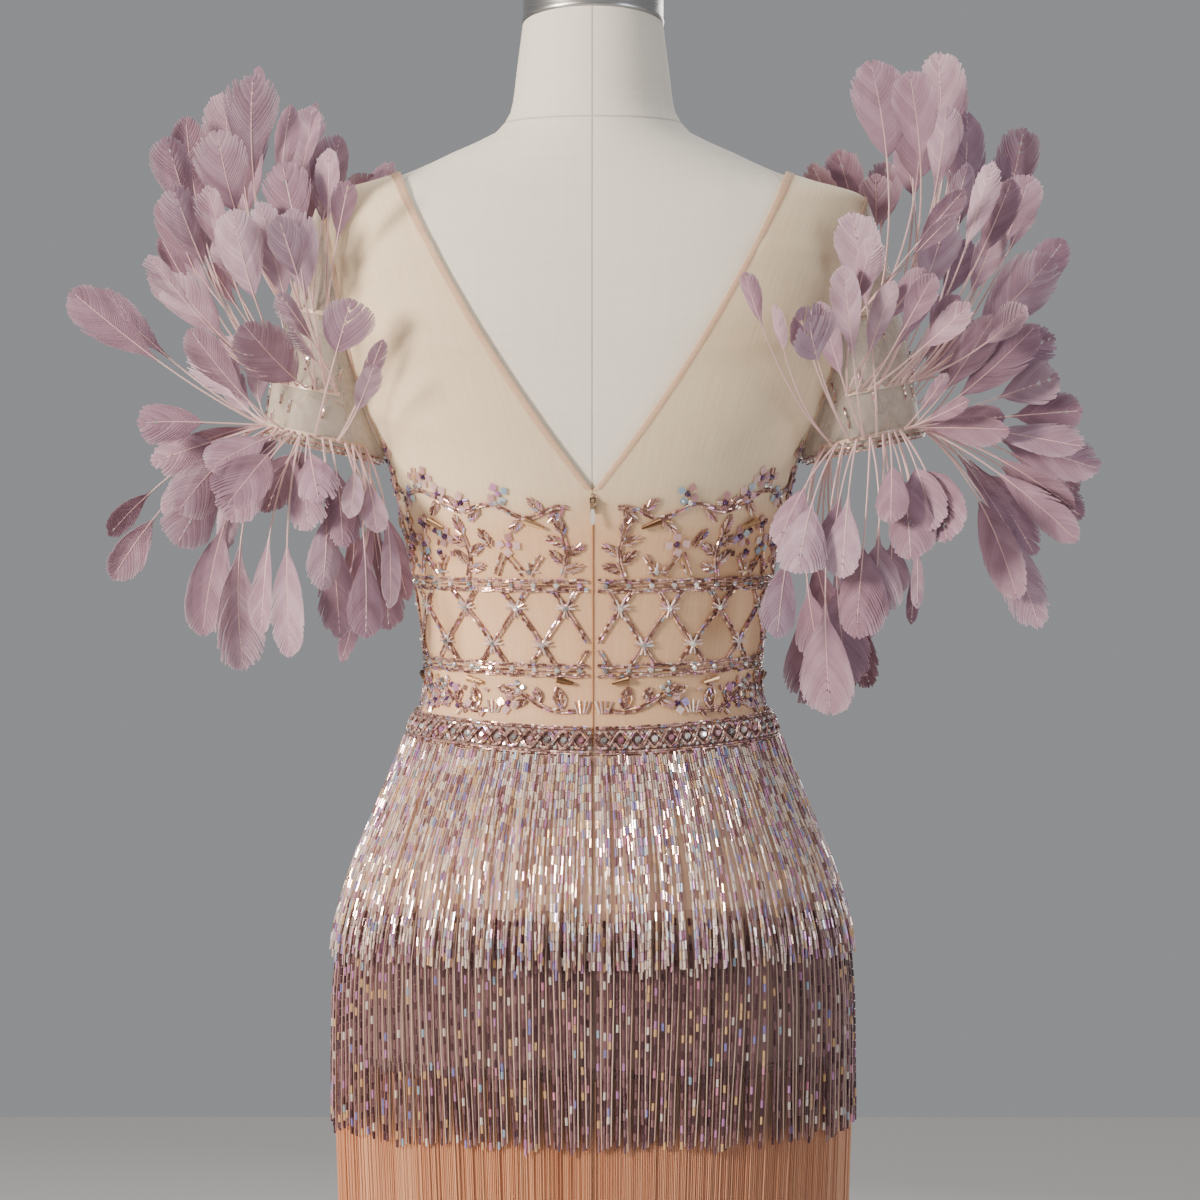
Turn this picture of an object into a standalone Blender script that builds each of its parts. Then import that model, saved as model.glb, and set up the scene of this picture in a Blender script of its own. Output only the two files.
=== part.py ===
"""Cocktail dress on a limbless dress form: its solids at real size, in metres, +Z up.

The form faces -Y, so the back of the dress, with its V neck and zip, faces +Y. The wearer's left is +X.
The origin is on the floor, under the middle of the stand's foot.

Everything on the body is placed by an angle round the body (0 at the wearer's left side, 90 degrees at
the middle of the back), a height, and a lift above the form's surface.
"""

import math
import random
from collections import namedtuple
from functools import lru_cache

import bmesh
import bpy
import numpy as np

# Cloth and its seams
SKIN = 0.0022            # lift of the inside of the cloth above the form
CLOTH = 0.0012           # thickness of a cloth wall
SEAM = 0.0003            # gap between two pieces at a seam
TRIM_LIFT = 0.0041       # lift of the inside of what lies on the cloth
QUARTER = math.pi / 2

# Heights of the dress
WAIST_SEAM = 1.003
V_POINT = 1.179          # bottom of the V at the middle of the back
SCOOP_POINT = 1.300      # bottom of the neckline at the middle of the front
NECK_SHOULDER = (0.1387, 1.4065)   # across and height where the neckline meets the shoulder seam
SHOULDER_TIP = 1.387
UNDERARM = 1.212
ARMHOLE_BACK = 0.048     # how far the armhole reaches behind the side line
ARMHOLE_FRONT = 0.052
SKIRT_HEM = 0.515

# Form and stand
TORSO_BOTTOM = 0.740
NECK_TOP = 1.516
NECK_SLOPE = 0.008       # how much the neck's top edge rises towards the back
POLE_RADIUS = 0.016
FOOT_RADIUS = 0.180
FOOT_HEIGHT = 0.022

Section = namedtuple("Section", "height half_width back front squareness")

# Level oval sections of the form, carried down to the skirt's hem.
SECTIONS = (
    Section(0.480, 0.1750, 0.118, 0.114, 2.30),
    Section(0.660, 0.1800, 0.122, 0.117, 2.30),
    Section(0.740, 0.1822, 0.127, 0.120, 2.30),
    Section(0.800, 0.1822, 0.132, 0.122, 2.30),
    Section(0.850, 0.1795, 0.135, 0.123, 2.30),
    Section(0.900, 0.1670, 0.128, 0.120, 2.25),
    Section(0.950, 0.1485, 0.114, 0.112, 2.20),
    Section(0.990, 0.1335, 0.098, 0.102, 2.20),
    Section(1.040, 0.1190, 0.087, 0.094, 2.20),
    Section(1.080, 0.1215, 0.087, 0.096, 2.20),
    Section(1.125, 0.1290, 0.093, 0.105, 2.20),
    Section(1.171, 0.1390, 0.101, 0.117, 2.30),
    Section(1.200, 0.1455, 0.105, 0.122, 2.50),
    Section(1.240, 0.1630, 0.108, 0.122, 2.80),
    Section(1.290, 0.1800, 0.108, 0.108, 3.00),
    Section(1.335, 0.1900, 0.103, 0.092, 2.80),
    Section(1.365, 0.1950, 0.097, 0.078, 2.50),
    Section(1.387, 0.1945, 0.088, 0.070, 2.20),
    Section(1.400, 0.1600, 0.080, 0.066, 2.05),
    Section(1.4065, 0.1387, 0.077, 0.064, 2.00),
    Section(1.423, 0.1020, 0.070, 0.062, 2.00),
    Section(1.440, 0.0680, 0.063, 0.060, 2.00),
    Section(1.456, 0.0590, 0.057, 0.058, 2.00),
    Section(1.482, 0.0555, 0.054, 0.057, 2.00),
    Section(1.540, 0.0480, 0.047, 0.052, 2.00),
)
BUST_RISE = 0.016        # soft fullness of the form at each side of the chest
BUST_HEIGHT = 1.232
BUST_ANGLE = math.radians(34)
BUST_SPREAD_ANGLE = 0.42
BUST_SPREAD_HEIGHT = 0.050

# Waist band
BAND_LOW_SIDE = 0.9975   # lower edge at the sides
BAND_DIP = 0.0065        # how much lower it lies at the middle of the back and front
BAND_HEIGHT = 0.020
BAND_LIFT = 0.0046
BAND_THICK = 0.0022
BAND_CORD = 0.0010       # relief of the twisted cord along its middle
BAND_COLUMNS = 36
ZIP_OPENING = 0.0010     # half the gap between two ends at the zip

# Cap sleeve, measured on the wearer's left
CUFF_MIDDLE = (0.1985, 0.000, 1.208)
CUFF_HALF_WIDTH = 0.0400
CUFF_HALF_DEPTH = 0.058
CUFF_RISE = 0.009        # the outer end of the cuff is higher than its middle
SLEEVE_BULGE = 0.004
SLEEVE_ROWS = 5

# Feathers
QUILL_HALF = 0.0009      # half the width of a stripped quill
QUILL_THICK = 0.0016
FEATHER_THICK = 0.0016
ROOT_HALF = 0.0013       # half the width of a feather's root in its tape
TAPE_LIFT = 0.0011       # lift of a feather tape above the sleeve, more at its round end
TAPE_THICK = 0.0015
FRONT_EVERY = 8          # each eighth feather is met by one at the front of the sleeve
WIDEST_GAP = math.radians(17)   # a tape bends at least this often round the sleeve
FEATHER_SEED = 11

Band = namedtuple("Band", "from_cuff height widest")
BANDS = {
    "upper": Band(0.094, 0.0036, math.radians(80)),
    "middle": Band(0.040, 0.0036, math.radians(104)),
    "lower": Band(0.0075, 0.0036, math.radians(138)),
}

Feather = namedtuple("Feather", "band out up back blade width")

# Where each feather of the back ends: out from the middle of the body, up from the floor and back.
LEFT_FEATHERS = (
    Feather("upper", 0.239, 1.483, 0.030, 0.077, 0.012),
    Feather("upper", 0.239, 1.471, 0.085, 0.065, 0.034),
    Feather("upper", 0.261, 1.461, 0.045, 0.065, 0.034),
    Feather("upper", 0.202, 1.457, 0.020, 0.070, 0.026),
    Feather("upper", 0.186, 1.420, 0.075, 0.045, 0.016),
    Feather("upper", 0.215, 1.453, 0.060, 0.050, 0.018),
    Feather("middle", 0.289, 1.444, 0.065, 0.074, 0.026),
    Feather("middle", 0.299, 1.428, 0.085, 0.062, 0.030),
    Feather("middle", 0.305, 1.390, 0.050, 0.050, 0.022),
    Feather("middle", 0.268, 1.392, 0.105, 0.050, 0.020),
    Feather("middle", 0.312, 1.362, 0.025, 0.046, 0.012),
    Feather("middle", 0.299, 1.332, 0.080, 0.062, 0.036),
    Feather("middle", 0.250, 1.373, 0.125, 0.060, 0.030),
    Feather("middle", 0.233, 1.381, 0.100, 0.060, 0.024),
    Feather("middle", 0.219, 1.410, 0.095, 0.045, 0.034),
    Feather("middle", 0.244, 1.296, 0.120, 0.070, 0.034),
    Feather("middle", 0.218, 1.316, 0.115, 0.040, 0.014),
    Feather("lower", 0.373, 1.322, 0.050, 0.074, 0.033),
    Feather("lower", 0.283, 1.293, 0.095, 0.070, 0.022),
    Feather("lower", 0.167, 1.312, 0.125, 0.036, 0.034),
    Feather("lower", 0.151, 1.266, 0.135, 0.050, 0.016),
    Feather("lower", 0.324, 1.228, 0.060, 0.045, 0.032),
    Feather("lower", 0.307, 1.203, 0.030, 0.064, 0.018),
    Feather("lower", 0.272, 1.194, 0.090, 0.055, 0.030),
    Feather("lower", 0.309, 1.162, 0.040, 0.053, 0.017),
    Feather("lower", 0.295, 1.139, 0.075, 0.062, 0.034),
    Feather("lower", 0.255, 1.167, 0.110, 0.055, 0.034),
    Feather("lower", 0.265, 1.135, 0.050, 0.058, 0.020),
    Feather("lower", 0.349, 1.114, 0.020, 0.047, 0.022),
    Feather("lower", 0.251, 1.050, 0.050, 0.080, 0.034),
    Feather("lower", 0.213, 1.061, 0.090, 0.068, 0.024),
    Feather("lower", 0.181, 1.055, 0.040, 0.068, 0.012),
    Feather("lower", 0.179, 1.073, 0.075, 0.064, 0.028),
    Feather("lower", 0.159, 1.075, 0.105, 0.058, 0.024),
    Feather("lower", 0.144, 1.095, 0.070, 0.058, 0.016),
    Feather("lower", 0.200, 1.151, 0.105, 0.050, 0.032),
    Feather("lower", 0.175, 1.139, 0.085, 0.055, 0.024),
    Feather("lower", 0.151, 1.149, 0.110, 0.048, 0.018),
    Feather("upper", 0.162, 1.412, -0.050, 0.045, 0.030),
    Feather("upper", 0.150, 1.424, -0.070, 0.040, 0.018),
)
RIGHT_FEATHERS = (
    Feather("upper", 0.201, 1.491, 0.005, 0.070, 0.040),
    Feather("upper", 0.246, 1.491, 0.050, 0.062, 0.032),
    Feather("upper", 0.261, 1.477, 0.020, 0.050, 0.018),
    Feather("upper", 0.248, 1.449, 0.090, 0.058, 0.022),
    Feather("upper", 0.258, 1.388, 0.120, 0.045, 0.018),
    Feather("middle", 0.267, 1.448, 0.070, 0.070, 0.032),
    Feather("middle", 0.310, 1.439, 0.030, 0.050, 0.028),
    Feather("middle", 0.278, 1.408, 0.110, 0.054, 0.020),
    Feather("middle", 0.312, 1.403, 0.055, 0.050, 0.026),
    Feather("middle", 0.315, 1.386, 0.020, 0.036, 0.015),
    Feather("middle", 0.287, 1.366, 0.075, 0.045, 0.022),
    Feather("middle", 0.250, 1.371, 0.100, 0.056, 0.030),
    Feather("middle", 0.329, 1.346, 0.050, 0.070, 0.034),
    Feather("middle", 0.257, 1.315, 0.095, 0.042, 0.018),
    Feather("middle", 0.210, 1.324, 0.120, 0.056, 0.015),
    Feather("middle", 0.236, 1.329, 0.125, 0.048, 0.018),
    Feather("middle", 0.194, 1.354, 0.130, 0.045, 0.020),
    Feather("lower", 0.316, 1.297, 0.060, 0.070, 0.028),
    Feather("lower", 0.285, 1.305, 0.020, 0.050, 0.014),
    Feather("lower", 0.182, 1.374, 0.110, 0.058, 0.028),
    Feather("lower", 0.174, 1.335, 0.125, 0.062, 0.020),
    Feather("lower", 0.104, 1.328, 0.150, 0.040, 0.013),
    Feather("lower", 0.147, 1.298, 0.150, 0.035, 0.036),
    Feather("lower", 0.353, 1.236, 0.030, 0.048, 0.030),
    Feather("lower", 0.362, 1.193, 0.055, 0.068, 0.034),
    Feather("lower", 0.345, 1.142, 0.065, 0.069, 0.025),
    Feather("lower", 0.356, 1.158, 0.010, 0.058, 0.026),
    Feather("lower", 0.263, 1.242, 0.100, 0.044, 0.012),
    Feather("lower", 0.295, 1.222, 0.080, 0.062, 0.020),
    Feather("lower", 0.251, 1.142, 0.095, 0.050, 0.036),
    Feather("lower", 0.320, 1.131, 0.015, 0.080, 0.022),
    Feather("lower", 0.321, 1.079, 0.045, 0.080, 0.028),
    Feather("lower", 0.223, 1.130, 0.100, 0.052, 0.030),
    Feather("lower", 0.227, 1.083, 0.060, 0.048, 0.009),
    Feather("lower", 0.170, 1.018, 0.060, 0.070, 0.036),
    Feather("lower", 0.192, 1.087, 0.045, 0.045, 0.030),
    Feather("lower", 0.143, 1.122, 0.115, 0.052, 0.032),
    Feather("lower", 0.175, 1.117, 0.110, 0.056, 0.026),
    Feather("lower", 0.130, 1.075, 0.100, 0.058, 0.026),
    Feather("lower", 0.185, 1.073, 0.085, 0.056, 0.034),
    Feather("lower", 0.163, 1.058, 0.050, 0.048, 0.026),
    Feather("upper", 0.180, 1.430, -0.040, 0.045, 0.026),
)

# Blade of a feather: how far along it, and how wide there
BLADE_SHAPE = ((0.0, 0.04), (0.30, 0.74), (0.60, 1.00), (0.86, 0.78), (1.0, 0.22))

# Fringe tiers: each is a tape with locks that hang from it. A knot is a height and a lift.
Tier = namedtuple("Tier", "name locks thick knots tip_width uneven open_back colour")
TIERS = (
    Tier("fringe_upper", 48, 0.0020, ((0.945, 0.0062), (0.897, 0.0090), (0.848, 0.0094)), 0.62, 0.006, True,
         (0.74, 0.62, 0.64)),
    Tier("fringe_middle", 48, 0.0018, ((0.845, 0.0060), (0.785, 0.0072), (0.720, 0.0078)), 0.60, 0.005, False,
         (0.42, 0.30, 0.32)),
    Tier("fringe_lower", 50, 0.0016, ((0.690, 0.0044), (0.500, 0.0046)), 0.80, 0.003, False,
         (0.80, 0.55, 0.42)),
)
TAPE_TOPS = {"fringe_upper": None, "fringe_middle": 0.886, "fringe_lower": 0.776}
TAPE_HEIGHT = 0.010

# Colours seen in the photograph
NUDE = (0.86, 0.72, 0.58)
PEACH = (0.80, 0.60, 0.45)
LINEN = (0.72, 0.68, 0.60)
ORGANZA = (0.62, 0.53, 0.45)
FEATHER_PINK = (0.52, 0.34, 0.38)
BEADS = (0.45, 0.30, 0.28)
STEEL = (0.62, 0.62, 0.62)


# Body surface

def column_slopes(heights, values):
    """Slopes of a smooth curve through one column of the sections, which never overshoots them."""
    steps = np.diff(heights)
    rises = np.diff(values) / steps
    slopes = np.zeros(len(values))
    slopes[0] = rises[0]
    slopes[-1] = rises[-1]
    for row in range(1, len(values) - 1):
        if rises[row - 1] * rises[row] > 0:
            before = 2 * steps[row] + steps[row - 1]
            after = steps[row] + 2 * steps[row - 1]
            slopes[row] = (before + after) / (before / rises[row - 1] + after / rises[row])
    return slopes


SECTION_ROWS = np.array(SECTIONS)
SECTION_SLOPES = [column_slopes(SECTION_ROWS[:, 0], SECTION_ROWS[:, column]) for column in range(5)]


def section_value(name, height):
    """One measure of the oval section at a height."""
    column = Section._fields.index(name)
    heights = SECTION_ROWS[:, 0]
    row = np.clip(np.searchsorted(heights, height) - 1, 0, len(heights) - 2)
    step = heights[row + 1] - heights[row]
    t = (height - heights[row]) / step
    start = SECTION_ROWS[row, column]
    end = SECTION_ROWS[row + 1, column]
    slope_start = SECTION_SLOPES[column][row] * step
    slope_end = SECTION_SLOPES[column][row + 1] * step
    return (start * (2 * t**3 - 3 * t**2 + 1) + slope_start * (t**3 - 2 * t**2 + t)
            + end * (3 * t**2 - 2 * t**3) + slope_end * (t**3 - t**2))


def side_line(height):
    """How far the side line lies from the middle plane, front to back."""
    return (section_value("back", height) - section_value("front", height)) / 2


def bare_point(angle, height):
    """A point on the form's own surface."""
    angle = np.asarray(angle, dtype=float)
    height = np.asarray(height, dtype=float)
    wide = section_value("half_width", height)
    deep = (section_value("back", height) + section_value("front", height)) / 2
    power = section_value("squareness", height)
    across = np.abs(np.cos(angle)) / wide
    along = np.abs(np.sin(angle)) / deep
    reach = (across**power + along**power) ** (-1 / power)
    from_front = np.abs(np.abs(np.arctan2(np.cos(angle), -np.sin(angle))) - BUST_ANGLE)
    fullness = np.exp(-(from_front / BUST_SPREAD_ANGLE)**2 - ((height - BUST_HEIGHT) / BUST_SPREAD_HEIGHT)**2)
    reach = reach + BUST_RISE * fullness
    return np.stack([reach * np.cos(angle), reach * np.sin(angle) + side_line(height),
                     height + 0 * angle], axis=-1)


def body_point(angle, height, lift):
    """A point at a lift above the form, along the surface's normal."""
    small_turn = 1e-3
    small_rise = 5e-4
    round_way = bare_point(angle + small_turn, height) - bare_point(angle - small_turn, height)
    up_way = bare_point(angle, height + small_rise) - bare_point(angle, height - small_rise)
    normal = np.cross(round_way, up_way)
    normal = normal / np.linalg.norm(normal, axis=-1, keepdims=True)
    return bare_point(angle, height) + normal * np.asarray(lift)[..., None]


def angle_where(measure, wanted, height, side):
    """The angle from the side line, towards the back (side 1) or front (-1), where a rising measure is met."""
    low, high = 0.0, QUARTER
    for _ in range(40):
        middle = (low + high) / 2
        if measure(bare_point(side * middle, height)) < wanted:
            low = middle
        else:
            high = middle
    return side * (low + high) / 2


def angle_at_across(across, height, side):
    return angle_where(lambda point: -point[0], -across, height, side)


def angle_at_depth(depth, height, side):
    line = side_line(height)
    return angle_where(lambda point: side * (point[1] - line), depth, height, side)


# Mesh helpers

def material(name, colour, roughness=0.7, metallic=0.0):
    made = bpy.data.materials.get(name)
    if made is None:
        made = bpy.data.materials.new(name)
        made.use_nodes = True
        shader = made.node_tree.nodes["Principled BSDF"]
        shader.inputs["Base Color"].default_value = (*colour, 1)
        shader.inputs["Roughness"].default_value = roughness
        shader.inputs["Metallic"].default_value = metallic
    return made


def add_solid(name, points, faces, surface):
    """One closed solid, with its faces pointing out."""
    mesh = bpy.data.meshes.new(name)
    mesh.from_pydata([tuple(point) for point in points], [], faces)
    shape = bmesh.new()
    shape.from_mesh(mesh)
    if shape.calc_volume(signed=True) < 0:
        bmesh.ops.reverse_faces(shape, faces=shape.faces)
    shape.to_mesh(mesh)
    shape.free()
    mesh.shade_smooth()
    mesh.set_sharp_from_angle(angle=math.radians(40))
    mesh.materials.append(surface)
    made = bpy.data.objects.new(name, mesh)
    bpy.context.scene.collection.objects.link(made)
    return made


def grid_faces(rows, columns, closed=False):
    """Faces of a grid of points listed row by row; a closed grid joins its last column to its first."""
    last = columns if closed else columns - 1
    faces = []
    for row in range(rows - 1):
        for column in range(last):
            after = (column + 1) % columns
            faces.append((row * columns + column, row * columns + after,
                          (row + 1) * columns + after, (row + 1) * columns + column))
    return faces


def add_wall(name, outer, inner, faces, surface):
    """A wall between two skins that share one face list, closed by a rim along each open edge."""
    count = len(outer)
    edges = set()
    for face in faces:
        edges.update(zip(face, face[1:] + face[:1]))
    rim = [(b, a, a + count, b + count) for a, b in edges if (b, a) not in edges]
    inside = [tuple(count + corner for corner in reversed(face)) for face in faces]
    add_solid(name, list(outer) + list(inner), faces + inside + sorted(rim), surface)


def add_body_wall(name, angles, heights, low, high, surface, faces=None):
    """A wall over the body between two lifts, from grids of angles and heights."""
    if faces is None:
        faces = grid_faces(*angles.shape)
    angle = angles.reshape(-1)
    height = heights.reshape(-1)
    add_wall(name, body_point(angle, height, np.full(len(angle), high)),
             body_point(angle, height, np.full(len(angle), low)), faces, surface)


def add_rings(name, rings, surface):
    """A closed solid lofted through rings of points, with a flat cap at each end."""
    count = len(rings[0])
    points = [point for ring in rings for point in ring]
    faces = grid_faces(len(rings), count, closed=True)
    last = (len(rings) - 1) * count
    faces.append(tuple(reversed(range(count))))
    faces.append(tuple(range(last, last + count)))
    return add_solid(name, points, faces, surface)


# Form and stand

# Height of each ring of the form, and how far it is set in so that its facets stay under the cloth
FORM_LEVELS = ((TORSO_BOTTOM, 0.001), (0.80, 0.001), (0.85, 0.001), (0.90, 0.002), (0.95, 0.003), (0.99, 0.003),
               (1.015, 0.003), (1.045, 0.003), (1.085, 0.003), (1.14, 0.003), (1.19, 0.006), (1.225, 0.0105),
               (1.26, 0.0105), (1.30, 0.005), (1.34, 0.003), (1.37, 0.0035), (1.387, 0.0048), (1.397, 0.0052),
               (1.4065, 0.0025), (1.423, 0.001), (1.440, 0.0), (1.456, 0.0), (1.482, 0.0))


def circle(radius, height, sides):
    turns = [2 * math.pi * step / sides for step in range(sides)]
    return [(radius * math.cos(turn), radius * math.sin(turn), height) for turn in turns]


def build_form():
    columns = 28
    angles = np.arange(columns) * 2 * math.pi / columns
    rings = [body_point(angles, np.full(columns, level), np.full(columns, -sunk)) for level, sunk in FORM_LEVELS]
    neck_top = NECK_TOP + NECK_SLOPE * np.sin(angles)
    rings.append(bare_point(angles, neck_top))
    add_rings("form_torso", rings, material("linen", LINEN, 0.85))

    # The cap sits on the sloping top of the neck: out from the middle, and up.
    profile = ((1.0, SEAM), (1.0, 0.018), (0.95, 0.0235), (0.72, 0.0265))
    top_ring = rings[-1]
    middle = top_ring.mean(axis=0)
    cap = []
    for share, rise in profile:
        ring = middle + (top_ring - middle) * share
        ring[:, 2] = top_ring[:, 2] + rise
        cap.append(ring)
    add_rings("form_neck_cap", cap, material("steel", STEEL, 0.3, 1.0))


def build_stand():
    steel = material("steel", STEEL, 0.3, 1.0)
    collar_radius = 0.030
    profile = ((FOOT_RADIUS, 0.0), (FOOT_RADIUS, 0.009), (FOOT_RADIUS - 0.012, 0.013),
               (collar_radius + 0.02, FOOT_HEIGHT - 0.004), (collar_radius, FOOT_HEIGHT))
    add_rings("stand_base", [circle(radius, height, 28) for radius, height in profile], steel)
    pole = (FOOT_HEIGHT + SEAM, TORSO_BOTTOM - SEAM)
    add_rings("stand_pole", [circle(POLE_RADIUS, height, 16) for height in pole], steel)


# Bodice

def v_edge(t):
    """The V of the back: angle and height, from its point (0) to the shoulder (1)."""
    height = V_POINT + (NECK_SHOULDER[1] - V_POINT) * t
    across = NECK_SHOULDER[0] * (t + 0.28 * t * (1 - t))
    return angle_at_across(max(across, SEAM / 2), height, 1), height


def scoop_edge(t):
    """The round neckline of the front, from its lowest point to the shoulder."""
    turn = t * QUARTER
    height = SCOOP_POINT + (NECK_SHOULDER[1] - SCOOP_POINT) * (1 - math.cos(turn)) ** 0.9
    return angle_at_across(NECK_SHOULDER[0] * math.sin(turn), height, -1), height


def armhole_edge(t, side):
    """The armhole of the back (side 1) or front (-1), from the underarm to the shoulder tip."""
    middle = (UNDERARM + SHOULDER_TIP) / 2
    half = (SHOULDER_TIP - UNDERARM) / 2
    turn = math.pi * (1 - t)
    height = middle + half * math.cos(turn)
    reach = ARMHOLE_BACK if side > 0 else ARMHOLE_FRONT
    depth = max(reach * math.sin(turn), SEAM / 2)
    return angle_at_depth(depth, height, side), height


# Rows of a panel: shares of the way from the waist to the V or scoop, then on from there to the shoulder
SHARES_BELOW = (0.0, 0.09, 0.24, 0.42, 0.61, 0.80)
SHARES_ABOVE = (0.0, 0.14, 0.28, 0.42, 0.56, 0.70, 0.82, 0.92, 1.0)
# Columns of a panel, from the middle to the side: the first and the last carry the bindings
PANEL_COLUMNS = (0.0, 0.09, 0.29, 0.49, 0.69, 0.88, 1.0)


def panel_edges(side):
    """Both long edges of half a panel: rows of (angle, height) at the centre line and at the side."""
    neck = v_edge if side > 0 else scoop_edge
    neck_low = V_POINT if side > 0 else SCOOP_POINT
    bottom = WAIST_SEAM + SEAM / 2
    rows = []
    for share in SHARES_BELOW:
        centre_height = bottom + (neck_low - bottom) * share
        side_height = bottom + (UNDERARM - bottom) * share
        centre = (angle_at_across(SEAM / 2, centre_height, side), centre_height)
        rows.append((centre, (angle_at_depth(SEAM / 2, side_height, side), side_height)))
    for share in SHARES_ABOVE:
        rows.append((neck(share), armhole_edge(share, side)))
    return rows


def panel_grid(side):
    """Angles and heights of half a panel, rows from the waist up and columns from the middle out."""
    edges = np.array(panel_edges(side))
    shares = np.array(PANEL_COLUMNS)[None, :]
    centre = edges[:, 0, :, None]
    outer = edges[:, 1, :, None]
    angles = centre[:, 0] + (outer[:, 0] - centre[:, 0]) * shares
    heights = centre[:, 1] + (outer[:, 1] - centre[:, 1]) * shares
    return angles, heights


def mirror_angles(angles):
    """The same places on the wearer's other side."""
    return math.pi - angles


def build_bodice():
    tulle = material("nude tulle", NUDE, 0.6)
    angles, heights = panel_grid(1)
    high = SKIN + CLOTH
    add_body_wall("bodice_back_left", angles, heights, SKIN, high, tulle)
    add_body_wall("bodice_back_right", mirror_angles(angles), heights, SKIN, high, tulle)

    # The two halves of the front share their middle column up to the neckline.
    angles, heights = panel_grid(-1)
    rows, columns = angles.shape
    middle_rows = len(SHARES_BELOW) + 1
    angles[:middle_rows, 0] = -QUARTER
    left = grid_faces(rows, columns)
    shared = {row * columns for row in range(middle_rows)}
    kept = [index for index in range(rows * columns) if index not in shared]
    other = {index: index for index in shared}
    other.update({index: rows * columns + place for place, index in enumerate(kept)})
    right = [tuple(other[corner] for corner in reversed(face)) for face in left]
    both_angles = np.concatenate([angles.reshape(-1), mirror_angles(angles.reshape(-1)[kept])])
    both_heights = np.concatenate([heights.reshape(-1), heights.reshape(-1)[kept]])
    add_body_wall("bodice_front", both_angles, both_heights, SKIN, high, tulle, left + right)


def add_binding(name, side, column, shares, first_row, gap, mirror):
    """A narrow strip on one column of a panel, made from the panel's own points moved out."""
    angles, heights = panel_grid(side)
    skins = []
    for lift in (SKIN + CLOTH + gap, SKIN + CLOTH + gap + BINDING_THICK):
        points = body_point(angles, heights, np.full(angles.shape, lift))
        points[..., 0] *= mirror
        start = points[first_row:, column]
        end = points[first_row:, column + 1]
        skins.append(np.stack([start + (end - start) * share for share in shares], axis=1))
    inner, outer = (skin.reshape(-1, 3) for skin in skins)
    add_wall(name, outer, inner, grid_faces(len(skins[0]), 2), material("doubled tulle", PEACH, 0.6))


NECK_GAP = 0.0007        # room between the panel and the binding, more where the panel curves
ARMHOLE_GAP = 0.0017
BINDING_THICK = 0.0010


def build_bindings():
    """The doubled neck edge and the armhole binding, on the backs and on each half of the front."""
    neck_row = len(SHARES_BELOW)
    last = len(PANEL_COLUMNS) - 2
    for side, place in ((1, "back"), (-1, "front")):
        for mirror, word in ((1, "left"), (-1, "right")):
            add_binding(f"neck_binding_{place}_{word}", side, 0, (0.03, 0.85), neck_row, NECK_GAP,
                        mirror)
            add_binding(f"armhole_binding_{place}_{word}", side, last, (0.25, 0.70), neck_row + 2,
                        ARMHOLE_GAP, mirror)


# Skirt

SKIRT_LEVELS = (SKIRT_HEM, 0.66, 0.76, 0.82, 0.86, 0.90, 0.945, 0.980, WAIST_SEAM - SEAM / 2)


def skirt_panel(name, start, end, columns):
    """One skirt panel between two angles, from the waist seam to the hem."""
    angles, heights = np.meshgrid(np.linspace(start, end, columns + 1), SKIRT_LEVELS)
    add_body_wall(name, angles, heights, SKIN, SKIN + CLOTH, material("nude lining", NUDE, 0.7))


def build_skirt():
    gap = SEAM / 2 / 0.12
    skirt_panel("skirt_front", math.pi + gap, 2 * math.pi - gap, 14)
    skirt_panel("skirt_back_left", gap, QUARTER - gap, 7)
    skirt_panel("skirt_back_right", QUARTER + gap, math.pi - gap, 7)


# Waist band and fringe

def band_low(angle):
    return BAND_LOW_SIDE - BAND_DIP * np.sin(angle)**2


def round_from_zip(steps, opening):
    """Angles all round the body, starting and ending at the zip."""
    start = QUARTER + opening / 0.1
    return np.linspace(start, start + 2 * math.pi - 2 * opening / 0.1, steps)


def build_waist_band():
    angles = round_from_zip(BAND_COLUMNS + 1, ZIP_OPENING)
    shares = (0.0, 0.5, 1.0)
    low = band_low(angles)
    heights = np.array([low + BAND_HEIGHT * share for share in shares])
    grid = np.tile(angles, (len(shares), 1))
    lift = np.full(grid.shape, BAND_LIFT + BAND_THICK)
    lift[1] += BAND_CORD * (1 + (np.arange(BAND_COLUMNS + 1) % 2)) / 2
    outer = body_point(grid.reshape(-1), heights.reshape(-1), lift.reshape(-1))
    inner = body_point(grid.reshape(-1), heights.reshape(-1), np.full(grid.size, BAND_LIFT))
    add_wall("waist_band", outer, inner, grid_faces(*grid.shape), material("bead band", BEADS, 0.35, 0.4))


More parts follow.
